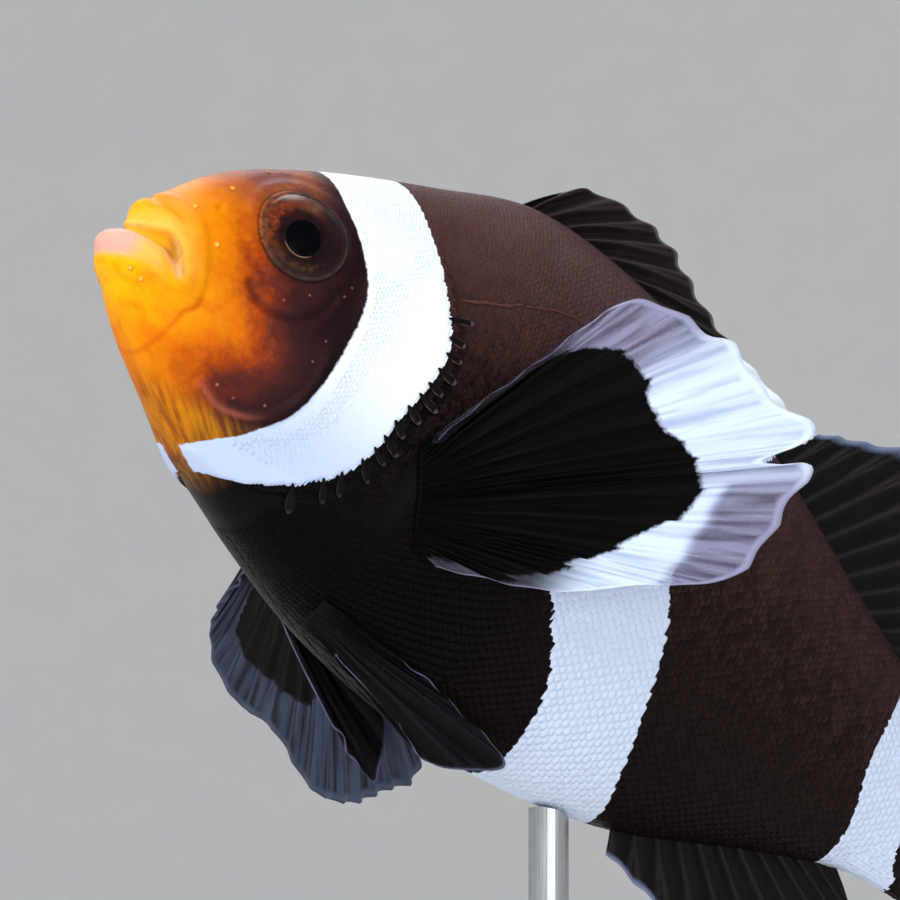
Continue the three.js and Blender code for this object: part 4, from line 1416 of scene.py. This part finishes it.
def make_pectoral_finish(name, gap_colour, ray_colour, milk_colour, milk_ray, thin_web, thick_web):
    """A black patch inside a clear margin that turns milky where the milk attribute says so."""
    f = Finish(name, Roughness=0.5, Specular_IOR_Level=0.04)
    straight = f.attribute("straight", "Vector")
    fine = f.noise(3.0, 4.0, 0.65, straight)
    ray = f.attribute("ray")
    count = f.attribute("count")
    reach = f.attribute("reach")
    span = f.attribute("span")
    cell = f.math("FLOOR", count)
    tooth = f.node("ShaderNodeTexWhiteNoise", {"W": cell}, noise_dimensions="1D").outputs["Value"]
    patch = f.stirred(f.attribute("patch"), tooth, 0.55)
    patch = f.stirred(patch, fine, 0.5)
    outer = f.band(patch, -0.12, 0.16)
    black = f.mix(ray, shade(2, 1, 2), shade(9, 7, 7))
    along = f.node("ShaderNodeCombineXYZ", {0: f.times(count, 2.6), 1: f.times(reach, 2.4)})
    streak = f.band(f.noise(1.0, 2.0, 0.5, along.outputs[0]), 0.36, 0.64)
    lit = f.math("MAXIMUM", f.times(ray, 0.9), f.times(streak, 0.65))
    hem = f.band(reach, 0.955, 0.985)
    lit = f.math("MAXIMUM", lit, f.times(hem, 0.8))
    milk = f.attribute("milk")
    pale = f.mix(milk, f.mix(lit, gap_colour, ray_colour), f.mix(lit, milk_colour, milk_ray))
    near_root = f.band(span, 0.195, 0.145)
    dusk = f.mix(hem, shade(30, 24, 30), shade(104, 94, 124))
    pale = f.lay(pale, dusk, near_root, 0.95)
    f.colour(f.mix(outer, black, pale))
    web = f.math("ADD", f.times(lit, 0.36), f.band(milk, 0.0, 1.0, thin_web, thick_web), clamp=True)
    clear = f.mix(outer, (1, 1, 1, 1), f.node("ShaderNodeCombineColor", {0: web, 1: web, 2: web}).outputs[0])
    f.put(f.shader.inputs["Alpha"], clear)
    lower = f.bump(streak, 0.4, 0.00010)
    f.normal(f.bump(fine, 0.2, 0.00005, lower))
    return f.material


def patch_marks(plane, edge, milk_from, milk_to):
    """The black patch inside edge, and the milky part of the margin between two headings."""
    patch = eased(edge, 160)
    turn = np.arctan2(patch[:, 1], patch[:, 0])
    order = np.argsort(turn)

    def marks(u, v, middle):
        a, b = plane(u, v)
        heading = np.arctan2(b, np.maximum(a, 1e-6))
        at = np.interp(heading, turn[order], np.hypot(patch[:, 0], patch[:, 1])[order])
        low, high = math.radians(milk_from), math.radians(milk_to)
        milk = step(heading, low - 0.10, low + 0.10) * step(-heading, -high - 0.14, -high + 0.10)
        over_bar = 0.188 + 0.82 * (b + 0.09) - a
        milk = np.maximum(milk, step(over_bar, -0.006, 0.012) * step(-b, 0.0, 0.02))
        span = np.hypot(a, b)
        return {"patch": (span - at) / 0.02, "milk": milk, "span": span + 0.035 * step(-b, 0.0, 0.05)}
    return marks


pectoral_finish = make_pectoral_finish("pectoral_fin_web", shade(112, 106, 138), shade(182, 184, 216),
                                       shade(184, 198, 228), shade(216, 228, 247), 0.24, 0.84)
# Painted shade: the far pectoral is the same web painted far darker and without its milky part, as it looks
# in shade.
far_shaded_finish = make_pectoral_finish("pectoral_fin_web_far_shaded", shade(13, 18, 28), shade(76, 82, 104),
                                  shade(13, 18, 28), shade(76, 82, 104), 0.86, 0.86)
surface, plane = paired_fin((0.322, -0.098, -0.063), (0.766, -0.360, 0.533), (-0.550, 0.064, 0.833),
                            (0, 0.042), PECTORAL_EDGE, -0.006, 0.13, 0.003, seated=True)
fan_sheet("pectoral_left_rays", LEFT_RAYS, 10, 70, scalloped(surface, LEFT_RAYS, 0.014, 0.022, 11),
          0.0009, 0.0004, pectoral_finish, "pectoral_fin_left", pleat=0.0012,
          extras=patch_marks(plane, PATCH_EDGE, -2, 22))
surface, plane = paired_fin((0.322, 0.098, -0.063), (0.598, 0.685, -0.417), (-0.540, 0.728, 0.422),
                            (-0.008, 0.034), FAR_EDGE, 0.006, 0.26, 0.003, seated=True)
fan_sheet("pectoral_right_rays", RIGHT_RAYS, 10, 70, scalloped(surface, RIGHT_RAYS, 0.014, 0.012, 12),
          0.0016, 0.0004, far_shaded_finish, "pectoral_fin_right", pleat=0.0022,
          extras=patch_marks(plane, FAR_PATCH, -6, 27))


def spine_marks(width):
    """A pale line down the first spine as well as round the hem."""
    def marks(u, v, middle):
        hem = (v - 1.0 + width) / width
        spine = 1.5 * bell(u, 0.012) * step(v, 0.05, 0.30)
        return {"pale": np.full(len(u), NOT_PALE), "rim": np.maximum(hem, spine)}
    return marks


def pelvic(name, node, root, ahead, upward, root_line, edge, bulge, seed):
    surface, plane = paired_fin(root, ahead, upward, root_line, edge, bulge, 0.13 * seed, 0.003)
    fan_sheet(name, PELVIC_RAYS, 18, 50, scalloped(surface, PELVIC_RAYS, 0.015, 0.01, seed),
              0.0014, 0.0006, pale_edged, node, pleat=0.0020, extras=spine_marks(0.022))


pelvic("pelvic_left_rays", "pelvic_fin_left", (0.320, -0.036, -0.178), (0.962, -0.120, -0.115),
       (-0.1, 0.5, -0.86), (-0.004, 0.012), PELVIC_EDGE_LEFT, -0.004, 20)
pelvic("pelvic_right_rays", "pelvic_fin_right", (0.324, 0.036, -0.178), (0.890, 0.300, -0.215),
       (-0.1, 0.2, -0.97), (-0.022, 0.012), PELVIC_EDGE_RIGHT, 0.004, 21)


# ---------------------------------------------------------------- stand
def make_wood_finish():
    f = Finish("waxed_walnut_base", Roughness=0.38, Coat_Weight=0.15, Coat_Roughness=0.25)
    grain = f.noise(1.0, 5.0, 0.62, f.stretched(f.place(), (55, 900, 900)))
    broad = f.noise(1.0, 3.0, 0.5, f.stretched(f.place(), (14, 130, 130)))
    colour = f.ramp(grain, [(0.25, shade(58, 36, 24)), (0.5, shade(92, 60, 38)), (0.75, shade(124, 84, 54))])
    colour = f.lay(colour, shade(70, 44, 28), broad, 0.6)
    f.colour(colour)
    f.normal(f.bump(grain, 0.25, 0.00008))
    f.rough(f.band(grain, 0.2, 0.8, 0.48, 0.32))
    return f.material


def make_rod_finish():
    f = Finish("brushed_steel_rod", Metallic=1.0, Roughness=0.3)
    brush = f.noise(1.0, 3.0, 0.6, f.stretched(f.place(), (9000, 9000, 160)))
    f.colour(f.mix(brush, shade(168, 170, 172), shade(206, 207, 208)))
    f.rough(f.band(brush, 0.2, 0.8, 0.24, 0.40))
    f.normal(f.bump(brush, 0.2, 0.00002))
    return f.material


def dress(node, finish):
    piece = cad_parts[node]
    piece.data.materials.clear()
    piece.data.materials.append(finish)


dress("stand_base", make_wood_finish())
dress("stand_rod", make_rod_finish())

# ---------------------------------------------------------------- studio
FLOOR_REACH = 1.00
WALL_CURVE = 0.50
WALL_TOP = 1.90
CURVE_STEPS = 12
ROUND_STEPS = 96
bm = bmesh.new()
profile = [bm.verts.new(p) for p in [(0, 0, 0), (FLOOR_REACH, 0, 0)]]
for k in range(1, CURVE_STEPS + 1):
    turn = math.radians(90 * k / CURVE_STEPS)
    reach = FLOOR_REACH + WALL_CURVE * math.sin(turn)
    profile.append(bm.verts.new((reach, 0, WALL_CURVE * (1 - math.cos(turn)))))
profile.append(bm.verts.new((FLOOR_REACH + WALL_CURVE, 0, WALL_TOP)))
edges = [bm.edges.new(pair) for pair in zip(profile[:-1], profile[1:])]
bmesh.ops.spin(bm, geom=profile + edges, cent=(0, 0, 0), axis=(0, 0, 1), angle=2 * math.pi,
               steps=ROUND_STEPS, use_merge=True)
bmesh.ops.remove_doubles(bm, verts=bm.verts[:], dist=1e-6)
bmesh.ops.recalc_face_normals(bm, faces=bm.faces[:])
backdrop_finish = Finish("pale_paper_backdrop", Roughness=0.9)
paper = backdrop_finish.noise(60.0)
backdrop_finish.colour(backdrop_finish.mix(paper, shade(232, 232, 232), shade(238, 237, 235)))
backdrop = make_object("backdrop", bm, backdrop_finish.material)

VIEW_AZIMUTH = 30
VIEW_ELEVATION = -5
VIEW_DISTANCE = 4.5 * LENGTH
LENS = 226.1
# How far the view is shifted, in shares of its width.
SHIFT_ACROSS = -0.0733333
SHIFT_UP = 0.0755556


def look_at_fish(thing, azimuth, elevation, distance):
    """Sets a thing at an angle and a distance from the fish, facing it."""
    a, e = math.radians(azimuth), math.radians(elevation)
    away = Vector((-math.sin(a) * math.cos(e), -math.cos(a) * math.cos(e), math.sin(e)))
    bpy.context.scene.collection.objects.link(thing)
    thing.location = Vector((PIVOT_AHEAD, 0.0, PIVOT_HEIGHT)) + away * distance
    thing.rotation_euler = (-away).to_track_quat("-Z", "Y").to_euler()


camera_data = bpy.data.cameras.new("camera")
camera_data.sensor_width = 36.0
camera_data.lens = LENS
camera_data.shift_x = SHIFT_ACROSS
camera_data.shift_y = SHIFT_UP
camera_data.clip_start = 0.005
camera = bpy.data.objects.new("camera", camera_data)
look_at_fish(camera, VIEW_AZIMUTH, VIEW_ELEVATION, VIEW_DISTANCE)
bpy.context.scene.camera = camera


def lamp(name, azimuth, elevation, distance, size, power, colour=(1, 1, 1)):
    """A soft square light, placed round the fish by angle."""
    data = bpy.data.lights.new(name, "AREA")
    data.size = size
    data.energy = power
    data.color = colour
    look_at_fish(bpy.data.objects.new(name, data), azimuth, elevation, distance)


lamp("key", 62, 38, 0.50, 0.30, 2.2)
lamp("fill", 12, -4, 0.60, 0.40, 1.55, (0.86, 0.93, 1.0))
lamp("back", 200, 50, 0.55, 0.25, 1.2, (0.90, 0.94, 1.0))
world = bpy.data.worlds.new("studio")
world.use_nodes = True
world.node_tree.nodes["Background"].inputs["Color"].default_value = (0.92, 0.95, 1.0, 1.0)
world.node_tree.nodes["Background"].inputs["Strength"].default_value = 0.68
bpy.context.scene.world = world
bpy.context.scene.view_settings.view_transform = "Standard"
